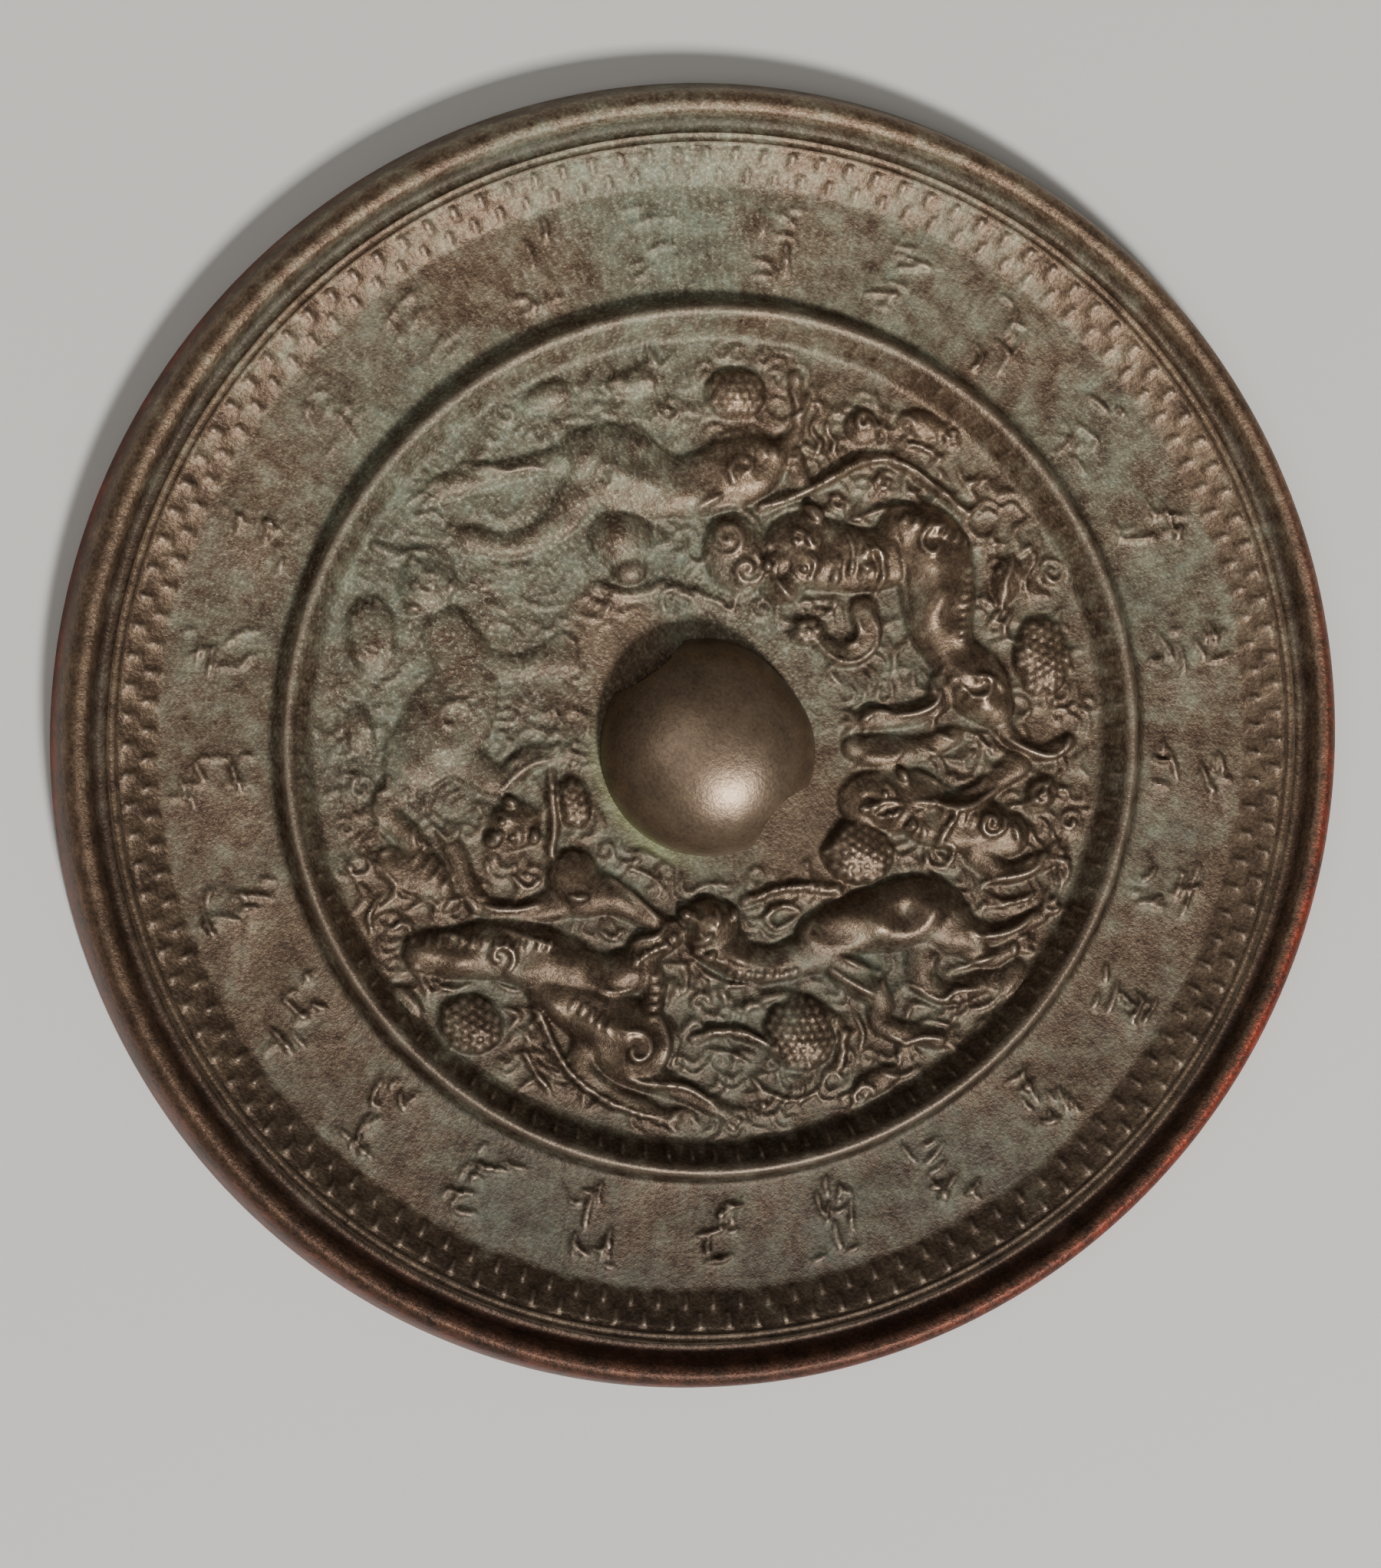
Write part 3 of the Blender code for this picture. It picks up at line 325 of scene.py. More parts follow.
# Ridges and furrows, as width, rise and places: brows, manes, ribs, tendons, leaves and tendrils
LINES = (
    # the beast above the knob
    (1.0, 0.9, (-38.7, 37.3), (-36.0, 38.7), (-32.7, 38.7), (-30.0, 38.0), (-26.7, 38.7), (-23.4, 37.8)),
    (0.9, 0.6, (-24.0, 43.6), (-21.0, 45.4), (-16.7, 44.9), (-11.3, 43.9), (-8.0, 41.3), (-4.7, 39.6)),
    (0.9, 0.6, (-1.3, 41.5), (1.6, 43.6), (5.3, 43.6), (8.7, 42.7)),
    (1.2, 0.9, (-3.3, 32.7), (-1.3, 33.9), (0.7, 35.0)),
    (1.0, 0.8, (-22.8, 42.0), (-23.6, 38.6), (-22.4, 34.6)),
    (0.9, 0.8, (-1.3, 32.3), (2.0, 33.5), (5.6, 31.5), (7.2, 28.0), (6.8, 24.4), (5.0, 21.2), (2.0, 20.4),
     (-0.6, 21.6)), (1.0, 0.9, (-3.4, 22.0), (-1.4, 20.4), (2.0, 19.6)),
    (0.8, 0.7, (-10.8, 25.6), (-8.4, 27.6), (-5.6, 28.2)),
    (0.8, 0.6, (-9.6, 31.6), (-7.0, 31.0), (-4.8, 29.4)),
    (0.8, 0.6, (-19.4, 32.4), (-20.6, 29.0), (-19.0, 25.4)),
    (0.8, 0.7, (-44.0, 33.6), (-41.4, 34.6), (-39.0, 33.0)),
    (0.8, 0.7, (-43.0, 31.2), (-40.6, 32.2), (-38.4, 30.8)),
    # the great beast at the right
    (1.1, 1.2, (6.0, 33.3), (9.3, 33.9), (12.7, 35.4), (16.7, 37.4), (20.0, 39.3), (25.3, 40.2)),
    (1.0, 0.9, (25.3, 40.2), (28.7, 38.8), (32.0, 36.2), (36.8, 32.4)),
    (1.0, 0.9, (7.7, 31.3), (10.0, 32.9), (12.7, 33.3), (16.0, 32.7), (18.9, 31.0)),
    (1.0, 0.9, (19.3, 31.3), (22.0, 32.2), (25.3, 33.3), (28.7, 33.5)),
    (0.9, 0.9, (22.0, 29.0), (23.9, 25.0), (23.3, 20.0)),
    (0.8, 0.7, (20.2, 30.0), (21.6, 26.5), (21.2, 22.0)),
    (0.8, 0.7, (18.4, 30.4), (19.5, 27.0), (19.2, 22.8)),
    (0.7, -0.5, (25.6, 31.3), (26.7, 26.6), (27.9, 20.7), (28.2, 15.6)),
    (0.8, 0.7, (8.4, 26.4), (8.6, 22.6), (11.6, 19.8), (15.4, 20.2)),
    (0.8, 0.6, (10.8, 24.4), (12.4, 22.8), (14.8, 23.0)),
    (0.9, 1.0, (14.7, 14.2), (16.0, 12.5), (18.7, 11.2), (21.5, 11.6), (23.4, 13.8), (23.4, 17.0)),
    (0.9, 1.0, (18.2, 14.2), (20.0, 14.0), (20.8, 15.8), (20.2, 18.0)),
    (0.8, 0.8, (15.2, 17.4), (17.0, 18.6), (17.6, 21.0)),
    (1.0, 1.0, (25.6, 3.6), (29.3, 4.0), (32.0, 5.3), (32.9, 7.6)),
    (1.0, 0.9, (21.0, 2.7), (23.3, 4.3), (26.0, 3.9)),
    (1.0, 0.9, (42.7, 0.3), (45.3, -1.1), (49.3, -2.4), (51.6, -1.3), (52.4, 1.4)),
    (0.8, 0.6, (36.6, 9.4), (40.2, 9.0), (42.6, 6.6)), (0.8, 0.6, (30.0, 10.4), (31.6, 8.0), (31.8, 5.8)),
    (0.9, 0.7, (45.0, 29.0), (46.8, 26.0), (45.4, 22.6), (46.6, 19.4)),
    (0.8, 0.7, (42.6, 28.4), (43.4, 25.6), (42.2, 22.6), (42.8, 19.6)),
    (0.8, 0.7, (40.2, 16.8), (42.0, 19.0), (41.4, 22.0)),
    (0.8, 0.8, (14.7, 46.4), (13.8, 44.2), (15.0, 42.2), (14.2, 40.2)),
    (0.8, 0.8, (16.9, 46.6), (16.0, 44.4), (17.2, 42.4), (16.4, 40.4)),
    (0.8, 0.7, (27.0, 42.4), (30.0, 42.0), (33.4, 39.8)),
    (0.8, 0.7, (10.0, 45.6), (12.8, 47.0), (13.4, 49.6)),
    # the small beast at the right
    (1.1, 1.0, (17.8, -8.4), (20.0, -5.9), (23.3, -4.5), (27.3, -4.1), (30.7, -4.9), (34.2, -7.0)),
    (0.8, 0.7, (22.0, -10.3), (24.7, -11.0), (27.6, -9.4)),
    (0.8, 0.7, (21.8, -10.0), (24.4, -8.6), (27.6, -9.0)), (1.0, 0.9, (25.7, -13.5), (29.3, -12.0)),
    (0.8, 0.6, (28.6, -10.8), (31.0, -9.6), (32.4, -7.8)),
    (1.5, 1.3, (28.7, -8.7), (32.0, -8.9), (35.0, -9.6), (38.4, -8.8), (41.9, -6.8)),
    (1.3, 1.0, (35.4, -10.0), (33.4, -13.0), (32.4, -15.4)),
    (0.9, 0.8, (42.0, -9.9), (46.0, -9.2), (48.2, -7.3), (49.5, -4.9)),
    (0.9, 0.7, (43.6, -12.0), (44.6, -14.8)), (0.9, 0.7, (46.2, -12.0), (47.4, -14.6)),
    (1.0, 0.9, (39.0, -20.9), (42.0, -20.0), (46.0, -19.2), (48.6, -17.6)),
    (0.8, 0.7, (40.6, -22.8), (44.6, -23.4), (48.2, -21.8)),
    (0.8, 0.7, (50.6, -16.6), (52.2, -18.8), (51.2, -21.4)),
    (0.8, 0.7, (35.4, 1.6), (38.6, 0.4), (41.0, -2.0)), (0.8, 0.7, (33.6, -2.4), (36.2, -3.0), (38.6, -1.4)),
    (0.8, 0.7, (9.3, -18.2), (11.8, -17.0), (14.2, -17.6)),
    (0.8, 0.7, (4.7, -22.7), (8.7, -21.2), (14.7, -20.5)),
    (0.8, 0.8, (6.6, -25.4), (9.8, -23.6), (13.2, -24.4)),
    (0.8, 0.8, (6.6, -25.4), (9.6, -26.8), (13.2, -24.4)),
    # the leaping beast
    (1.2, 1.1, (16.2, -32.3), (19.3, -34.3), (23.5, -36.5)),
    (1.0, 0.9, (18.5, -30.9), (20.7, -32.0), (24.2, -33.4), (25.0, -36.0)),
    (0.9, 0.8, (25.1, -42.0), (28.0, -43.5), (30.7, -42.6), (34.4, -43.1)),
    (0.8, 0.7, (29.6, -41.0), (32.0, -40.4), (35.0, -41.2)),
    (0.9, 0.8, (27.6, -33.8), (30.0, -36.0), (33.3, -37.5), (35.5, -36.0), (39.2, -36.0)),
    (0.9, 0.9, (35.6, -33.1), (38.0, -32.3), (41.6, -31.0)),
    (0.8, 0.7, (35.0, -34.8), (38.0, -34.2), (40.8, -33.4)),
    (0.9, 0.7, (-3.2, -31.1), (-0.7, -33.4), (3.3, -34.8), (7.3, -34.4), (11.8, -33.0)),
    (0.8, 0.7, (-3.6, -29.2), (-1.0, -30.8), (1.8, -31.4)),
    (0.6, -0.4, (0.6, -30.6), (4.0, -32.2), (8.4, -32.8), (12.4, -31.8)),
    (1.0, 0.9, (37.3, -26.9), (38.9, -28.1), (42.0, -27.9), (44.9, -26.9), (47.4, -24.8)),
    (0.8, 0.6, (13.0, -27.6), (14.6, -24.8), (17.6, -22.9)),
    (0.8, 0.6, (40.0, -24.2), (43.0, -23.8), (46.0, -22.4)),
    (0.8, 0.7, (20.6, -39.0), (22.0, -42.0), (21.4, -45.0)),
    (0.8, 0.7, (37.6, -39.0), (40.4, -38.4), (42.6, -36.6)),
    (0.8, 0.7, (24.0, -47.6), (27.6, -48.4), (31.0, -47.0)),
    # the crouching beast at the bottom
    (0.9, 0.7, (-6.6, -38.9), (-5.2, -42.6), (-6.2, -46.6)),
    (0.8, 0.6, (-8.2, -38.4), (-6.8, -42.6), (-7.8, -47.0)),
    (1.0, 0.9, (-13.3, -47.3), (-10.0, -48.4), (-4.7, -48.9), (-2.0, -50.2), (0.6, -52.2)),
    (1.0, 0.9, (-2.7, -42.1), (0.0, -41.2), (4.0, -41.5), (6.7, -42.6), (9.2, -44.2)),
    (0.8, 0.7, (-1.6, -44.0), (2.0, -44.4), (5.8, -46.2)),
    (0.9, 0.8, (-25.3, -37.3), (-23.3, -42.0), (-20.7, -46.7), (-16.7, -50.0), (-11.3, -52.7),
     (-7.3, -53.5)), (0.9, 0.8, (5.0, -47.6), (8.2, -50.4), (12.6, -51.4), (16.4, -49.6)),
    (0.8, 0.7, (-27.4, -42.6), (-26.0, -46.2), (-23.0, -49.6)),
    # the long beast at the lower left and its hump
    (1.0, 0.9, (-12.9, -29.5), (-11.3, -28.1), (-8.7, -27.5), (-6.7, -25.8), (-5.1, -25.6), (-4.3, -27.5)),
    (0.9, 0.8, (-11.6, -31.4), (-10.0, -30.0), (-7.3, -29.0), (-5.8, -29.8)),
    (0.9, 0.7, (-16.7, -34.9), (-14.0, -35.4), (-11.4, -34.8)),
    (0.9, 0.7, (-44.9, -28.7), (-42.7, -27.1), (-38.7, -26.5), (-35.0, -28.0)),
    (0.8, 0.6, (-31.4, -25.8), (-26.6, -27.4), (-22.4, -28.8)),
    (1.1, 0.9, (-21.5, -21.5), (-20.0, -21.9), (-18.2, -21.7)),
    (0.9, 0.8, (-16.7, -18.0), (-12.7, -20.7), (-10.0, -23.2), (-7.8, -25.4)),
    (0.9, 0.8, (-33.5, -22.7), (-31.3, -23.4), (-28.0, -23.4), (-24.5, -22.5)),
    (0.8, 0.7, (-17.0, -26.4), (-14.8, -27.8), (-12.6, -26.6)),
    (0.8, 0.7, (-32.0, -33.4), (-28.6, -35.0), (-25.4, -34.0)),
    (0.8, 0.7, (-40.4, -33.6), (-37.2, -34.8), (-34.0, -33.6)),
    (0.8, 0.7, (-29.0, -19.0), (-26.6, -20.6), (-24.6, -19.2)),
    (0.8, 0.7, (-13.0, -17.6), (-9.4, -19.0), (-6.6, -21.4)),
    (0.8, 0.7, (-48.6, -27.0), (-49.0, -23.6), (-47.2, -21.0)),
    (0.8, 0.7, (-3.6, -21.6), (-0.6, -20.4), (2.6, -20.8)),
    # the worn beast at the left
    (1.0, 0.9, (-23.7, -3.0), (-23.3, -8.0), (-23.0, -11.3), (-23.4, -16.0)),
    (0.9, 0.8, (-28.7, 0.7), (-26.6, 1.8), (-24.7, 1.4), (-23.0, -0.4)),
    (1.2, 0.9, (-30.9, -7.3), (-28.7, -4.7), (-26.0, -2.9), (-23.2, -2.3)),
    (0.9, 0.8, (-48.4, 27.5), (-46.0, 25.3), (-43.3, 26.7), (-41.0, 26.0), (-39.6, 23.0)),
    (0.9, 0.7, (-45.0, 29.0), (-41.3, 28.6), (-38.3, 26.2), (-37.0, 22.0)),
    (0.8, 0.7, (-24.4, 13.8), (-22.0, 15.2), (-19.4, 13.8)),
    (0.8, 0.7, (-27.4, 14.6), (-30.0, 16.6), (-33.2, 16.4)),
    (0.8, 0.7, (-33.4, 25.8), (-30.0, 24.4), (-27.0, 24.8)),
    (0.8, 0.7, (-28.4, 20.4), (-24.8, 19.0), (-21.0, 19.6)),
    (0.8, 0.7, (-47.6, 8.0), (-45.0, 9.4), (-43.4, 12.0)),
    (0.8, 0.7, (-50.4, 4.0), (-48.6, 0.8), (-49.4, -2.6)),
    (0.8, 0.7, (-34.4, -8.0), (-33.0, -10.6), (-34.0, -13.6)))
for width, rise, *places in LINES:
    stroke(places, 0.85 * width, 0.95 * rise)

# Rows of short marks: first and last place, count, length and bearing of each: spines, fur, ribs and rungs
for x0, y0, x1, y1, count, long, bearing in (
        (37.0, 24.6, 35.6, 14.6, 9, 1.5, 10), (21.4, -2.9, 26.4, -2.2, 7, 3.2, 58),
        (-31.0, 8.8, -30.0, 0.2, 7, 3.0, 5), (-42.0, -15.6, -38.0, -19.4, 4, 3.4, 230),
        (-41.0, -27.4, -24.0, -28.4, 12, 2.0, 70), (-20.0, 43.0, -9.0, 42.4, 8, 1.8, 75),
        (0.0, 41.6, 8.0, 41.0, 6, 1.8, 100), (27.0, 31.8, 36.4, 28.8, 7, 2.0, 60),
        (2.0, -33.4, 11.6, -33.0, 8, 1.6, 80), (-40.0, 11.0, -33.6, 5.4, 6, 2.6, 30),
        (-20.6, -36.8, -15.6, -39.8, 5, 2.4, 60), (17.4, 25.2, 24.0, 23.4, 5, 2.4, 80),
        (32.6, 9.6, 36.6, 6.0, 4, 2.0, 60), (33.0, -10.6, 42.0, -12.0, 7, 2.4, 75),
        (-8.6, -33.2, -8.8, -38.8, 5, 1.9, 5), (-11.6, -30.6, -6.0, -27.8, 5, 1.6, 100),
        (10.6, 39.0, 12.2, 41.6, 3, 2.4, 20)):
    for k in range(count):
        f = k / (count - 1)
        x, y = x0 + (x1 - x0) * f, y0 + (y1 - y0) * f
        c, s = math.cos(math.radians(bearing)) * long / 2, math.sin(math.radians(bearing)) * long / 2
        stroke([(x - c, y - s), (x + 0.12 * s, y - 0.12 * c), (x + c, y + s)], 0.65, 0.5)

# Filling between the figures
# Thin curved leaves and tendrils crowd the ground between the beasts; the cutter left hardly any bare field.
# They are nested pairs and curls on a loose lattice that turns with the ring, and none where a form stands.
chance = np.random.default_rng(11)
SPACING = 3.5
LEAF_WIDTH, LEAF_RISE = 0.72, 0.42
for j in range(-18, 19):
    for i in range(-16, 17):
        x = (i + 0.5 * (j % 2)) * SPACING + chance.uniform(-1.0, 1.0)
        y = j * SPACING * ROW + chance.uniform(-1.0, 1.0)
        bend = chance.choice((-1.0, 1.0)) * chance.uniform(0.9, 1.8)
        lean = chance.uniform(-55, 55)
        long = chance.uniform(1.9, 3.3)
        curled = chance.random() < 0.16
        r = math.hypot(x, y)
        spot = window([x], [y], 1.9)
        if not 19.5 < r < 55.6 or lift[spot].mean() > 0.5:
            continue
        if curled:
            first = math.degrees(math.atan2(y, x)) + lean
            spiral(x, y, 1.5, first, math.copysign(1.1, bend), 0.75, LEAF_RISE)
            continue
        turn = math.atan2(y, x) + math.pi / 2 + math.radians(lean)
        c, s = math.cos(turn), math.sin(turn)
        for gap, size in ((0.0, 1.0), (1.1, 0.7)):
            foot = -0.4 * bend + gap
            run = [(-long * size, foot), (0, 0.9 * bend * size + gap), (long * size, foot)]
            stroke([(x + u * c - v * s, y + u * s + v * c) for u, v in run], LEAF_WIDTH, LEAF_RISE)

# The plain ground and the wear of the relief
# The figures stop short of the ridge and of the knob's mouths, where the cord lay on dressed, smooth metal.
# Handling and burial have flattened the figures most at the left and above the knob.
radius_at = np.hypot(grid_x, grid_y)
across = np.abs(grid_x * math.sin(CHANNEL_TURN) + grid_y * math.cos(CHANNEL_TURN))
open_field = np.clip(57.6 - radius_at, 0.0, 1.0) * np.clip((radius_at - KNOB - 1.0) / 2.0, 0.0, 1.0)
open_field *= np.clip(np.maximum(across - 6.0, radius_at - KNOB - 6.0), 0.0, 1.0)
# how much of the relief the wear has left
worn = 1.0 - 0.65 * np.exp(-((grid_x + 38.0)**2 + (grid_y - 14.0)**2) / 24.0**2)
worn -= 0.5 * np.exp(-((grid_x + 14.0)**2 + (grid_y - 38.0)**2) / 18.0**2)
worn = np.clip(worn, 0.25, 1.0)
# slight swells of the cast skin, from waves of 4.5 to 9 mm that cross each other
uneven = np.zeros_like(lift)
for _ in range(14):
    way, wave, phase = chance.uniform(0.0, math.pi), chance.uniform(4.5, 9.0), chance.uniform(0.0, 6.28)
    uneven += np.sin((grid_x * math.cos(way) + grid_y * math.sin(way)) * 2.0 * math.pi / wave + phase)
lift = (forms * (0.4 + 0.6 * worn) * (1.0 + 0.028 * uneven) + (lift - forms) * worn) * open_field


def softened(values, times):
    """The grid after a small blur, a few times over."""
    for _ in range(times):
        for way in (0, 1):
            values = 0.25 * np.roll(values, 1, way) + 0.5 * values + 0.25 * np.roll(values, -1, way)
    return values


lift = softened(lift, 1)

# The inscription band and the toothed rings
# A ring of worn signs stands on the flat band; here they are shallow bars and hooks that spell nothing.
# Two staggered rows of long teeth climb the slope outside it, and one of short teeth the ridge's inner side.
SIGNS = 25
FIRST_SIGN = 11.0
SIGN_RING = (BAND_IN + BAND_OUT) / 2
TEETH, RIDGE_TEETH = 126, 110
# the main bars of each kind of sign, from one end to the other, across and out from its middle
KINDS = (((-2.6, 3.6, 0.4, 4.4), (-0.6, 1.2, 2.6, 2.4), (-2.4, -3.6, 1.8, -2.2)),
         ((-2.4, 0.6, -1.2, 4.4), (0.4, 4.0, 2.6, 2.6), (0.2, -4.4, 1.2, 0.4)),
         ((-2.8, 2.4, 1.2, 3.2), (-1.6, -1.4, 2.6, -0.4), (-2.4, -4.2, -0.4, -3.0)),
         ((-0.8, 4.4, 0.2, 0.4), (1.4, -0.6, 2.6, -4.2), (-2.8, -2.8, -0.6, -4.4)))
bearing = np.arctan2(grid_y, grid_x)
for number in range(SIGNS):
    angle = math.radians(FIRST_SIGN + number * 360.0 / SIGNS)
    lean = 0.25 * math.sin(2.1 * number)
    bars = [(bar, 0.85, 0.6) for bar in KINDS[number % len(KINDS)]]
    for _ in range(8):
        u, v = chance.choice((-2.6, -0.9, 0.9, 2.6)), chance.choice((-4.6, -2.8, -1.0, 1.0, 2.8, 4.6))
        tilt = math.radians(chance.choice((0, 90)) + chance.uniform(-8, 8))
        long = chance.uniform(0.8, 1.7)
        du, dv = long * math.cos(tilt), long * math.sin(tilt)
        bars.append(((u - du, v - dv, u + du, v + dv), 0.7, 0.48))
    rubbed = 1.0 - 0.45 * math.exp(-(((math.degrees(angle) - 130.0 + 180.0) % 360.0 - 180.0) / 60.0)**2)
    for (x0, y0, x1, y1), width, rise in bars:
        ends = []
        for u, v in ((x0, y0), (0.5 * (x0 + x1) + 0.25, 0.5 * (y0 + y1) + 0.2), (x1, y1)):
            side, out = u + lean * v, SIGN_RING + 1.05 * v
            ends.append((out * math.cos(angle) + side * math.sin(angle),
                         out * math.sin(angle) - side * math.cos(angle)))
        stroke(ends, width, rise * rubbed, 0.5)
# Teeth: radius of their foot, length, shift along the ring and number
for foot, long, shift, count in (
        (78.5, 2.5, 0.0, TEETH), (81.2, 2.5, 0.5, TEETH), (57.5, 2.2, 0.0, RIDGE_TEETH)):
    phase = np.abs((bearing / (2 * math.pi) * count + shift) % 1.0 - 0.5)
    way = np.clip((radius_at - foot) / long, 0.0, 1.0)
    width = 0.26 - 0.16 * way
    tooth = np.clip(1.0 - phase / width, 0.0, 1.0) * (0.35 + 0.65 * way)
    lift += 0.7 * tooth * np.clip(8.0 * way, 0.0, 1.0) * np.clip(5.0 * (1.0 - way), 0.0, 1.0)

# The plate's mesh
# The skin of the casting, sampled in rings that are closest where the figures are; the plain polished face
# is closed with a few wide rings. The dense mesh is thinned later, which keeps triangles where relief bends.


def sampled(values, x, y):
    """Values of the grid between its points."""
    u, v = x / STEP + HALF, y / STEP + HALF
    i = np.clip(u.astype(int), 0, 2 * HALF - 1)
    j = np.clip(v.astype(int), 0, 2 * HALF - 1)
    u, v = u - i, v - j
    return (values[i, j] * (1 - u) * (1 - v) + values[i + 1, j] * u * (1 - v)
            + values[i, j + 1] * (1 - u) * v + values[i + 1, j + 1] * u * v)


def zip_rings(faces, lower, upper):
    """Triangles between two closed rings of vertices with any counts, given as (first vertex, count)."""
    (low, m), (up, n) = lower, upper
    a = b = 0
    while a < m or b < n:
        if b >= n or (a < m and (a + 1) * n <= (b + 1) * m):
            faces.append((low + a, up + b % n, low + (a + 1) % m))
            a += 1
        else:
            faces.append((up + b, up + (b + 1) % n, low + a % m))
            b += 1


# rings over the field, the ridge, the band and the toothed slope: first radius, gap and end
SPACES = ((0.3, 0.3, 57.3), (57.5, 0.4, 63.4), (63.7, 0.38, 78.1), (78.3, 0.36, 83.7))
UNDERSIDE = (80.0, 50.0, 20.0)
MOST, FEWEST = 1134, 64
radii = [r for start, gap, stop in SPACES for r in np.arange(start, stop, gap)]
radii += [r for r, _ in PROFILE[:SURFACE] if r > SPACES[-1][2]]
rings = [(r, float(np.interp(r, PROFILE[:SURFACE, 0], PROFILE[:SURFACE, 1]))) for r in radii]
rings += [(float(r), float(z)) for r, z in PROFILE[SURFACE:]] + [(r, 0.0) for r in UNDERSIDE]
points = [np.zeros((1, 3)) + (0.0, 0.0, FIELD_LEVEL)]
faces = []
start = 1
previous = None
for number, (r, level) in enumerate(rings):
    under = number >= len(rings) - len(UNDERSIDE)
    gap = 0.3 if r < SPACES[1][0] else 0.5
    count = FEWEST if under else int(min(2 * math.pi * r / gap, MOST)) if r > 0.4 else 6
    angles = np.arange(count) * 2 * math.pi / count
    x, y = r * np.cos(angles), r * np.sin(angles)
    top = number < len(radii)
    points.append(np.column_stack([x, y, level + (sampled(lift, x, y) if top else 0.0 * x)]))
    ring = (start, count)
    if previous is None:
        faces += [(0, 1 + i, 1 + (i + 1) % count) for i in range(count)]
    else:
        zip_rings(faces, previous, ring)
    previous = ring
    start += count
faces.append(tuple(reversed(range(previous[0], previous[0] + previous[1]))))
points = np.vstack(points)
cos_turn, sin_turn = math.cos(CHANNEL_TURN), math.sin(CHANNEL_TURN)
points = np.column_stack([points[:, 0] * cos_turn - points[:, 1] * sin_turn,
                          points[:, 0] * sin_turn + points[:, 1] * cos_turn, points[:, 2]]) * MM


def solid(name, verts, polygons):
    """A closed mesh object with its normals outward."""
    mesh = bpy.data.meshes.new(name)
    mesh.from_pydata([tuple(v) for v in verts], [], polygons)
    work = bmesh.new()
    work.from_mesh(mesh)
    bmesh.ops.recalc_face_normals(work, faces=work.faces)
    work.to_mesh(mesh)
    work.free()
    made = bpy.data.objects.new(name, mesh)
    bpy.context.scene.collection.objects.link(made)
    return made


plate = solid("mirror_plate", points, faces)

# The knob and its cord channel
# The knob is a plain dome cast with the plate; a clay core left the arch through it that held the cord.
# It is rooted a millimetre deep in the plate and joined to it, so that the whole mirror is one closed skin.
dome_points = []
dome_faces = []
COUNT, DOME_RINGS = 120, 24
KNOB_ROOT = 1.0
KNOB_ASIDE, KNOB_FLAT = 0.08, 0.07
levels = [(KNOB, FIELD_LEVEL - KNOB_ROOT), (KNOB, FIELD_LEVEL)]
for k in range(1, DOME_RINGS):
    bend = k / DOME_RINGS * math.pi / 2
    levels.append((KNOB * math.cos(bend)**0.9, FIELD_LEVEL + (KNOB_TOP - FIELD_LEVEL) * math.sin(bend)))
for number, (r, level) in enumerate(levels):
    for i in range(COUNT):
        angle = 2 * math.pi * i / COUNT
        share = 1.0 - KNOB_ASIDE * math.sin(angle) - KNOB_FLAT * math.exp(-((angle - math.pi / 2) / 0.55)**2)
        dome_points.append((r * share * MM * math.cos(angle), r * share * MM * math.sin(angle), level * MM))
    if number:
        zip_rings(dome_faces, ((number - 1) * COUNT, COUNT), (number * COUNT, COUNT))
dome_points.append((0.0, 0.0, KNOB_TOP * MM))
last = (len(levels) - 1) * COUNT
dome_faces += [(last + i, last + (i + 1) % COUNT, len(dome_points) - 1) for i in range(COUNT)]
dome_faces.append(tuple(reversed(range(COUNT))))
dome = solid("knob_dome", dome_points, dome_faces)

# the arch's half width and height, and how much both grow toward the worn mouth
ARCH_HALF, ARCH_HIGH = 4.8, 5.6
MOUTH_WIDER, MOUTH_HIGHER = 1.6, 6.0
arch_points = []
arch_faces = []
STATIONS, BENDS = 25, 25
for k in range(STATIONS):
    x = (k / (STATIONS - 1) * 2 - 1) * (KNOB * (1.0 + KNOB_ASIDE) + 3.0)
    open_out = min(1.0, abs(x) / KNOB)**3
    half = ARCH_HALF + MOUTH_WIDER * open_out
    high = ARCH_HIGH + (MOUTH_HIGHER * open_out if x > 0.0 else 0.0)
    row = [(x, -half, FIELD_LEVEL - 2.0 * KNOB_ROOT)]
    for bend in (math.pi * i / (BENDS - 1) for i in range(BENDS)):
        row.append((x, -half * math.cos(bend), FIELD_LEVEL + high * math.sin(bend)))
    row.append((x, half, FIELD_LEVEL - 2.0 * KNOB_ROOT))
    arch_points += [tuple(v * MM for v in p) for p in row]
    if k:
        zip_rings(arch_faces, ((k - 1) * len(row), len(row)), (k * len(row), len(row)))
arch_faces.append(tuple(range(BENDS + 2)))
arch_faces.append(tuple(reversed(range((STATIONS - 1) * (BENDS + 2), STATIONS * (BENDS + 2)))))
arch = solid("knob_channel", arch_points, arch_faces)

thin = plate.modifiers.new("thin", "DECIMATE")
thin.ratio = 0.46  # the share of the triangles that is kept
for target, tool, operation in ((dome, arch, "DIFFERENCE"), (plate, dome, "UNION")):
    step = target.modifiers.new(operation.lower(), "BOOLEAN")
    step.operation, step.solver, step.object = operation, "EXACT", tool
casting = bpy.data.meshes.new_from_object(plate.evaluated_get(bpy.context.evaluated_depsgraph_get()))
casting.name = "mirror_casting"
for spare in (plate, dome, arch):
    bpy.data.objects.remove(spare, do_unlink=True)
mirror = bpy.data.objects.new("mirror_casting", casting)
bpy.context.scene.collection.objects.link(mirror)
casting.shade_smooth()
casting.set_sharp_from_angle(angle=math.radians(62.0))

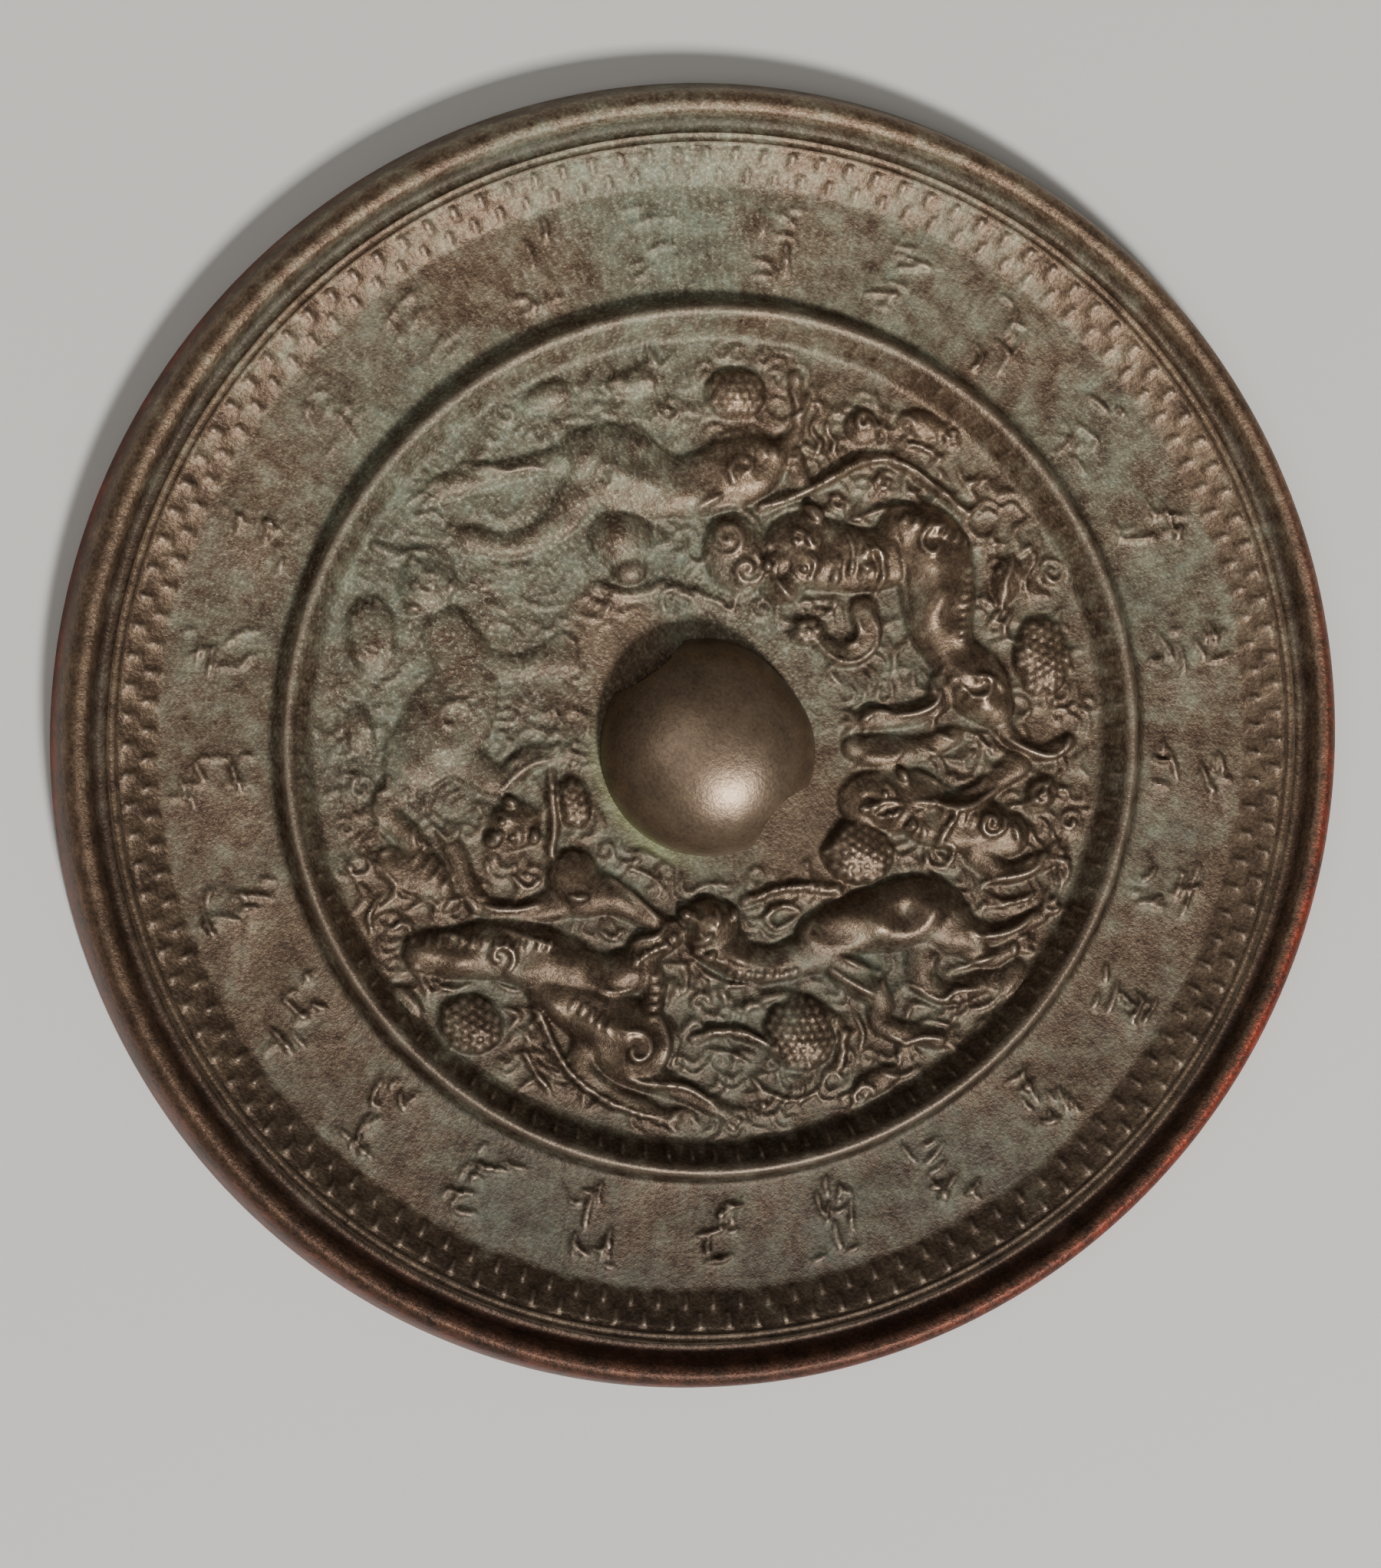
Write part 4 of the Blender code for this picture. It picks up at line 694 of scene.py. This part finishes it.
# Where dirt, patina, polish and painted light lie
# Dirt and painted shade darken the hollows, green salts gathered where the mirror lay damp, and handling
# kept the knob and its mouths clean; a painted light gradient runs from the bottom to the top. Each point of
# the skin keeps how deep it lies and how far each of these reaches it.
spots = np.empty(len(casting.vertices) * 3)
casting.vertices.foreach_get("co", spots)
spots = spots.reshape(-1, 3) / MM
back_x = spots[:, 0] * cos_turn + spots[:, 1] * sin_turn
back_y = -spots[:, 0] * sin_turn + spots[:, 1] * cos_turn
out_from = np.hypot(back_x, back_y)
side_of = np.degrees(np.arctan2(back_y, back_x)) % 360.0


def around(x, y, reach):
    """How near each point of the skin is to a place on the back."""
    return np.exp(-((back_x - x)**2 + (back_y - y)**2) / reach**2)


def facing(middle, reach):
    """How near each point's bearing is to a given one, in degrees."""
    return np.exp(-(((side_of - middle + 180.0) % 360.0 - 180.0) / reach)**2)


level = np.interp(radius_at, PROFILE[:SURFACE, 0], PROFILE[:SURFACE, 1]) + lift
# the polished knob, its rubbed mouths, the damp green places, and the red-brown crust of the rim
knob_skin = np.clip(17.2 - out_from, 0.0, 1.0) * np.clip((spots[:, 2] - 3.15) / 0.3, 0.0, 1.0)
mouths = around(14.0, -15.5, 6.5) + around(-14.0, 15.5, 5.0)
damp = 0.75 * around(-26.0, 34.0, 26.0) + 0.6 * around(-6.0, 72.0, 22.0) + 0.8 * around(-41.0, 6.0, 22.0)
damp += 0.4 * around(62.0, 36.0, 24.0) + 0.4 * around(8.0, 18.0, 10.0) + 0.35 * around(-72.0, 26.0, 16.0)
damp -= 1.2 * np.clip((out_from - 77.8) / 2.0, 0.0, 1.0) * (1.0 - facing(100.0, 60.0))
red = 1.1 * np.clip((out_from - 92.3) / 0.4, 0.0, 1.0) * facing(160.0, 36.0)
red += 0.9 * np.clip((out_from - 89.3) / 0.5, 0.0, 1.0) * facing(335.0, 42.0)
red += 0.4 * np.clip((out_from - 90.6) / 0.6, 0.0, 1.0) * facing(250.0, 60.0)
red = np.maximum(np.clip(red, 0.0, 0.95), 0.14 * np.clip(out_from - 86.0, 0.0, 1.0) * facing(275.0, 80.0))
# darker in the cove inside the rim, with painted shade added on the rim's left wall, and no darkening on the
# ridge's inner slope
cove_dirt_and_shade = 0.7 * np.exp(-((out_from - 87.0) / 1.1)**2) - 0.55 * np.exp(-((out_from - 58.6) / 1.3)**2)
cove_dirt_and_shade += 0.55 * np.exp(-((out_from - 87.3) / 1.7)**2) * facing(170.0, 60.0)
# sharp convex edges inside the crest of the rim, paler and glossier: partly rubbed wear, partly a painted
# highlight
rub_and_glint = sampled(level - softened(level, 6), back_x, back_y) * (out_from < 87.8)
for name, values in (
        ("dirt_and_shade", sampled(softened(level, 26) - level, back_x, back_y) + cove_dirt_and_shade), ("rub_and_glint", rub_and_glint),
        ("polish", np.clip(knob_skin + 0.6 * mouths, 0.0, 1.0)), ("damp", damp), ("painted_light_gradient", back_y / RIM),
        ("high", sampled(lift, back_x, back_y)), ("red", red),
        ("lime", facing(226.0, 42.0) * np.exp(-((out_from - 17.3) / 0.9)**2))):
    layer = casting.attributes.new(name, "FLOAT", "POINT")
    layer.data.foreach_set("value", np.asarray(values, dtype=np.float32))

# The finish of the metal
# High-tin bronze after a long burial: almost grey where handling keeps the high places bright, brown below,
# with a thin grey-green crust over the ground, pale green dust at the knob's foot and red-brown on the rim's
# side. The eye sees dull metal that shines along its worn edges, helped there by a painted highlight;
# painted shade darkens the hollows and a painted light gradient runs from the bottom to the top.


def linear(code):
    """An sRGB hex colour as linear red, green, blue and alpha."""
    parts = [int(code[i:i + 2], 16) / 255 for i in (1, 3, 5)]
    return tuple(v / 12.92 if v <= 0.04045 else ((v + 0.055) / 1.055)**2.4 for v in parts) + (1.0,)


def node(tree, kind, links=None, stops=None, **settings):
    """A shader node with its settings, a ramp's (position, hex colour) stops, and what feeds its sockets."""
    made = tree.nodes.new(kind)
    for key, value in settings.items():
        setattr(made, key, value)
    for number, (position, code) in enumerate(stops or ()):
        if number > 1:
            made.color_ramp.elements.new(position)
        made.color_ramp.elements[number].position = position
        made.color_ramp.elements[number].color = linear(code)
    for key, value in (links or {}).items():
        if isinstance(value, bpy.types.NodeSocket):
            tree.links.new(value, made.inputs[key])
        else:
            made.inputs[key].default_value = value
    return made


patina = bpy.data.materials.new("buried_tin_bronze")
patina.use_nodes = True
tree = patina.node_tree
shader = tree.nodes["Principled BSDF"]
place = node(tree, "ShaderNodeTexCoord").outputs["Object"]
in_mm = node(tree, "ShaderNodeVectorMath",
    {0: place, 1: (1000.0, 1000.0, 1000.0)}, operation="MULTIPLY").outputs[0]
dirt_and_shade_at, rub_and_glint_at, polish_at, damp_at, lime_at, red_at, high_at, painted_light_gradient_at = (
    node(tree, "ShaderNodeAttribute", attribute_name=name).outputs["Fac"]
    for name in ("dirt_and_shade", "rub_and_glint", "polish", "damp", "lime", "red", "high", "painted_light_gradient"))
# clouds 25 mm across, mottles of 4 mm, flecks of 2 mm, and grit and pits of about half a millimetre
clouds, mottle, flecks, grit = (
    node(tree, "ShaderNodeTexNoise",
         {"Vector": in_mm, "Scale": scale, "Detail": detail, "Roughness": harsh}).outputs["Fac"]
    for scale, detail, harsh in ((0.04, 5.0, 0.6), (0.24, 6.0, 0.68), (0.55, 3.0, 0.6), (1.9, 3.0, 0.65)))
speckle = node(tree, "ShaderNodeMix", {0: 0.45, 2: mottle, 3: grit}).outputs[0]
metal = node(tree, "ShaderNodeValToRGB", {0: speckle}, (
    (0.34, "#43352a"), (0.46, "#665241"), (0.56, "#7d6852"), (0.68, "#9a856c"))).outputs[0]
crust = node(tree, "ShaderNodeValToRGB", {0: speckle}, (
    (0.34, "#494636"), (0.46, "#686653"), (0.56, "#7e7e68"), (0.68, "#a3a48a"))).outputs[0]
fleck_share = node(tree, "ShaderNodeMapRange",
    {"Value": flecks, "From Min": 0.52, "From Max": 0.7, "To Max": 0.45}).outputs[0]
crust = node(tree, "ShaderNodeMix",
    {0: fleck_share, 6: crust, 7: linear("#718071")}, data_type="RGBA").outputs[2]
# the green crust follows the clouds, the damp and the hollows, and keeps off what is handled or stands high
green_feed = clouds
for source, weight in (
        (damp_at, 0.22), (mottle, 0.9), (dirt_and_shade_at, 0.12), (polish_at, -0.8), (high_at, -0.07)):
    green_feed = node(tree, "ShaderNodeMath", {0: source, 1: weight, 2: green_feed},
                      operation="MULTIPLY_ADD").outputs[0]
green_share = node(tree, "ShaderNodeMapRange",
    {"Value": green_feed, "From Min": 0.86, "From Max": 1.3}).outputs[0]
skin = node(tree, "ShaderNodeMix", {0: green_share, 6: metal, 7: crust}, data_type="RGBA").outputs[2]
grain_share = node(tree, "ShaderNodeMapRange",
    {"Value": grit, "From Min": 0.56, "From Max": 0.7, "To Max": 0.8}).outputs[0]
grain_share = node(tree, "ShaderNodeMath",
    {0: grain_share, 1: damp_at}, operation="MULTIPLY", use_clamp=True).outputs[0]
skin = node(tree, "ShaderNodeMix",
    {0: grain_share, 6: skin, 7: linear("#b4b19a")}, data_type="RGBA").outputs[2]
# painted light: the whole skin is scaled darker towards the bottom of the back and lighter towards its top
shade = node(tree, "ShaderNodeMapRange",
    {"Value": painted_light_gradient_at, "From Min": -1.0, "To Min": 0.24, "To Max": 1.1}).outputs[0]
skin = node(tree, "ShaderNodeVectorMath", {0: skin, "Scale": shade}, operation="SCALE").outputs[0]
handled = node(tree, "ShaderNodeValToRGB", {0: speckle}, ((0.3, "#56463a"), (0.6, "#7d6a55"))).outputs[0]
skin = node(tree, "ShaderNodeMix", {0: polish_at, 6: skin, 7: handled}, data_type="RGBA").outputs[2]
# painted shade and dirt: the skin is darkened where it lies below its surroundings, in the rim's cove and on
# the rim's left wall
dirt_and_shade_share = node(tree, "ShaderNodeMapRange", {
    "Value": dirt_and_shade_at, "From Min": 0.14, "From Max": 1.2, "To Max": 0.6}).outputs[0]
skin = node(tree, "ShaderNodeMix",
    {0: dirt_and_shade_share, 6: skin, 7: linear("#30261f")}, data_type="RGBA").outputs[2]
# painted highlight: convex edges are mixed towards a pale tan, on top of their rubbed wear
rub_and_glint_share = node(tree, "ShaderNodeMapRange", {
    "Value": rub_and_glint_at, "From Min": 0.05, "From Max": 0.3, "To Max": 0.45}).outputs[0]
skin = node(tree, "ShaderNodeMix",
    {0: rub_and_glint_share, 6: skin, 7: linear("#b3a08c")}, data_type="RGBA").outputs[2]
lime_share = node(tree, "ShaderNodeMath", {0: lime_at, 1: 0.65}, operation="MULTIPLY").outputs[0]
skin = node(tree, "ShaderNodeMix",
    {0: lime_share, 6: skin, 7: linear("#8f9468")}, data_type="RGBA").outputs[2]
red_share = node(tree, "ShaderNodeMapRange", {
    "Value": speckle, "From Min": 0.4, "From Max": 0.55, "To Min": 0.35}).outputs[0]
red_share = node(tree, "ShaderNodeMath", {0: red_at, 1: red_share}, operation="MULTIPLY").outputs[0]
rust = node(tree, "ShaderNodeValToRGB", {0: speckle}, ((0.38, "#521d14"), (0.62, "#9a3a26"))).outputs[0]
skin = node(tree, "ShaderNodeMix", {0: red_share, 6: skin, 7: rust}, data_type="RGBA").outputs[2]
tree.links.new(skin, shader.inputs["Base Color"])
rubbed_share = node(tree, "ShaderNodeMapRange",
    {"Value": high_at, "From Min": 1.6, "From Max": 3.2}).outputs[0]
rubbed_share = node(tree, "ShaderNodeMath", {0: rubbed_share, 1: polish_at}, operation="MAXIMUM").outputs[0]
rubbed_share = node(tree, "ShaderNodeMath", {0: rubbed_share, 1: rub_and_glint_share}, operation="MAXIMUM").outputs[0]
rough = node(tree, "ShaderNodeMapRange", {"Value": rubbed_share, "To Min": 0.48, "To Max": 0.37}).outputs[0]
rough = node(tree, "ShaderNodeMath",
    {0: green_share, 1: 0.16, 2: rough}, operation="MULTIPLY_ADD").outputs[0]
tree.links.new(rough, shader.inputs["Roughness"])
metallic = node(tree, "ShaderNodeMapRange", {"Value": green_share, "To Min": 0.75, "To Max": 0.4}).outputs[0]
tree.links.new(metallic, shader.inputs["Metallic"])
pits = node(tree, "ShaderNodeMapRange", {"Value": rubbed_share, "To Min": 0.7, "To Max": 0.3}).outputs[0]
relief = node(tree, "ShaderNodeMix", {0: 0.55, 2: flecks, 3: grit}).outputs[0]
bump = node(tree, "ShaderNodeBump", {"Height": relief, "Strength": pits, "Distance": 0.0003}).outputs[0]
tree.links.new(bump, shader.inputs["Normal"])
casting.materials.clear()
casting.materials.append(patina)
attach(mirror, "root")
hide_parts("mirror_plate", "knob_and_seat")

# The floor under the mirror
# A plain pale matte board that the mirror lies on with its polished face down.
# It is staging only, and wide enough that its edges stay out of the picture.
floor_mesh = bpy.data.meshes.new("floor")
floor_mesh.from_pydata([(-3, -3, 0), (3, -3, 0), (3, 3, 0), (-3, 3, 0)], [], [(0, 1, 2, 3)])
floor = bpy.data.objects.new("floor", floor_mesh)
bpy.context.scene.collection.objects.link(floor)
paper = bpy.data.materials.new("pale_matte_board")
paper.use_nodes = True
paper.node_tree.nodes["Principled BSDF"].inputs["Base Color"].default_value = linear("#cfccc6")
paper.node_tree.nodes["Principled BSDF"].inputs["Roughness"].default_value = 0.9
floor_mesh.materials.append(paper)

# Camera and light
# The camera looks down on the back from the picture's place, 576 mm away and 12 degrees off the axis.
# A soft key stands toward the picture's lower edge, with a wide weak fill from the other side.
DISTANCE = 0.576
LEAN = math.radians(12.0)
SIDE = math.radians(166.0)
turn = Matrix.Rotation(CHANNEL_TURN, 4, "Z")
out = turn @ Vector((math.sin(LEAN) * math.cos(SIDE), math.sin(LEAN) * math.sin(SIDE), math.cos(LEAN)))
toward = turn @ Vector((math.cos(LEAN) * math.cos(SIDE), math.cos(LEAN) * math.sin(SIDE), -math.sin(LEAN)))
level_axis = turn @ Vector((-math.sin(SIDE), math.cos(SIDE), 0.0))
right = math.cos(SIDE) * toward - math.sin(SIDE) * level_axis
up = math.sin(SIDE) * toward + math.cos(SIDE) * level_axis
lens = bpy.data.cameras.new("camera")
lens.lens = 92.7
lens.shift_x = -0.0122
lens.shift_y = -0.0279
lens.clip_start = 0.01
camera = bpy.data.objects.new("camera", lens)
camera.matrix_world = Matrix((
    (right[0], up[0], out[0], out[0] * DISTANCE), (right[1], up[1], out[1], out[1] * DISTANCE),
    (right[2], up[2], out[2], out[2] * DISTANCE), (0.0, 0.0, 0.0, 1.0)))
bpy.context.scene.collection.objects.link(camera)
bpy.context.scene.camera = camera


def lamp(name, place, size, power):
    """A square soft light aimed at the mirror; its place is right, up and out in the picture, in metres."""
    data = bpy.data.lights.new(name, "AREA")
    data.size, data.energy = size, power
    made = bpy.data.objects.new(name, data)
    spot = right * place[0] + up * place[1] + out * place[2]
    made.location = spot
    made.rotation_euler = spot.to_track_quat("Z", "Y").to_euler()
    bpy.context.scene.collection.objects.link(made)


lamp("key", (0.86, -1.36, 1.38), 0.3, 58.0)
lamp("fill", (-0.5, -0.2, 1.9), 1.2, 8.0)
world = bpy.data.worlds.new("room")
world.use_nodes = True
world.node_tree.nodes["Background"].inputs["Color"].default_value = (1.0, 0.98, 0.95, 1.0)
world.node_tree.nodes["Background"].inputs["Strength"].default_value = 0.18
bpy.context.scene.world = world
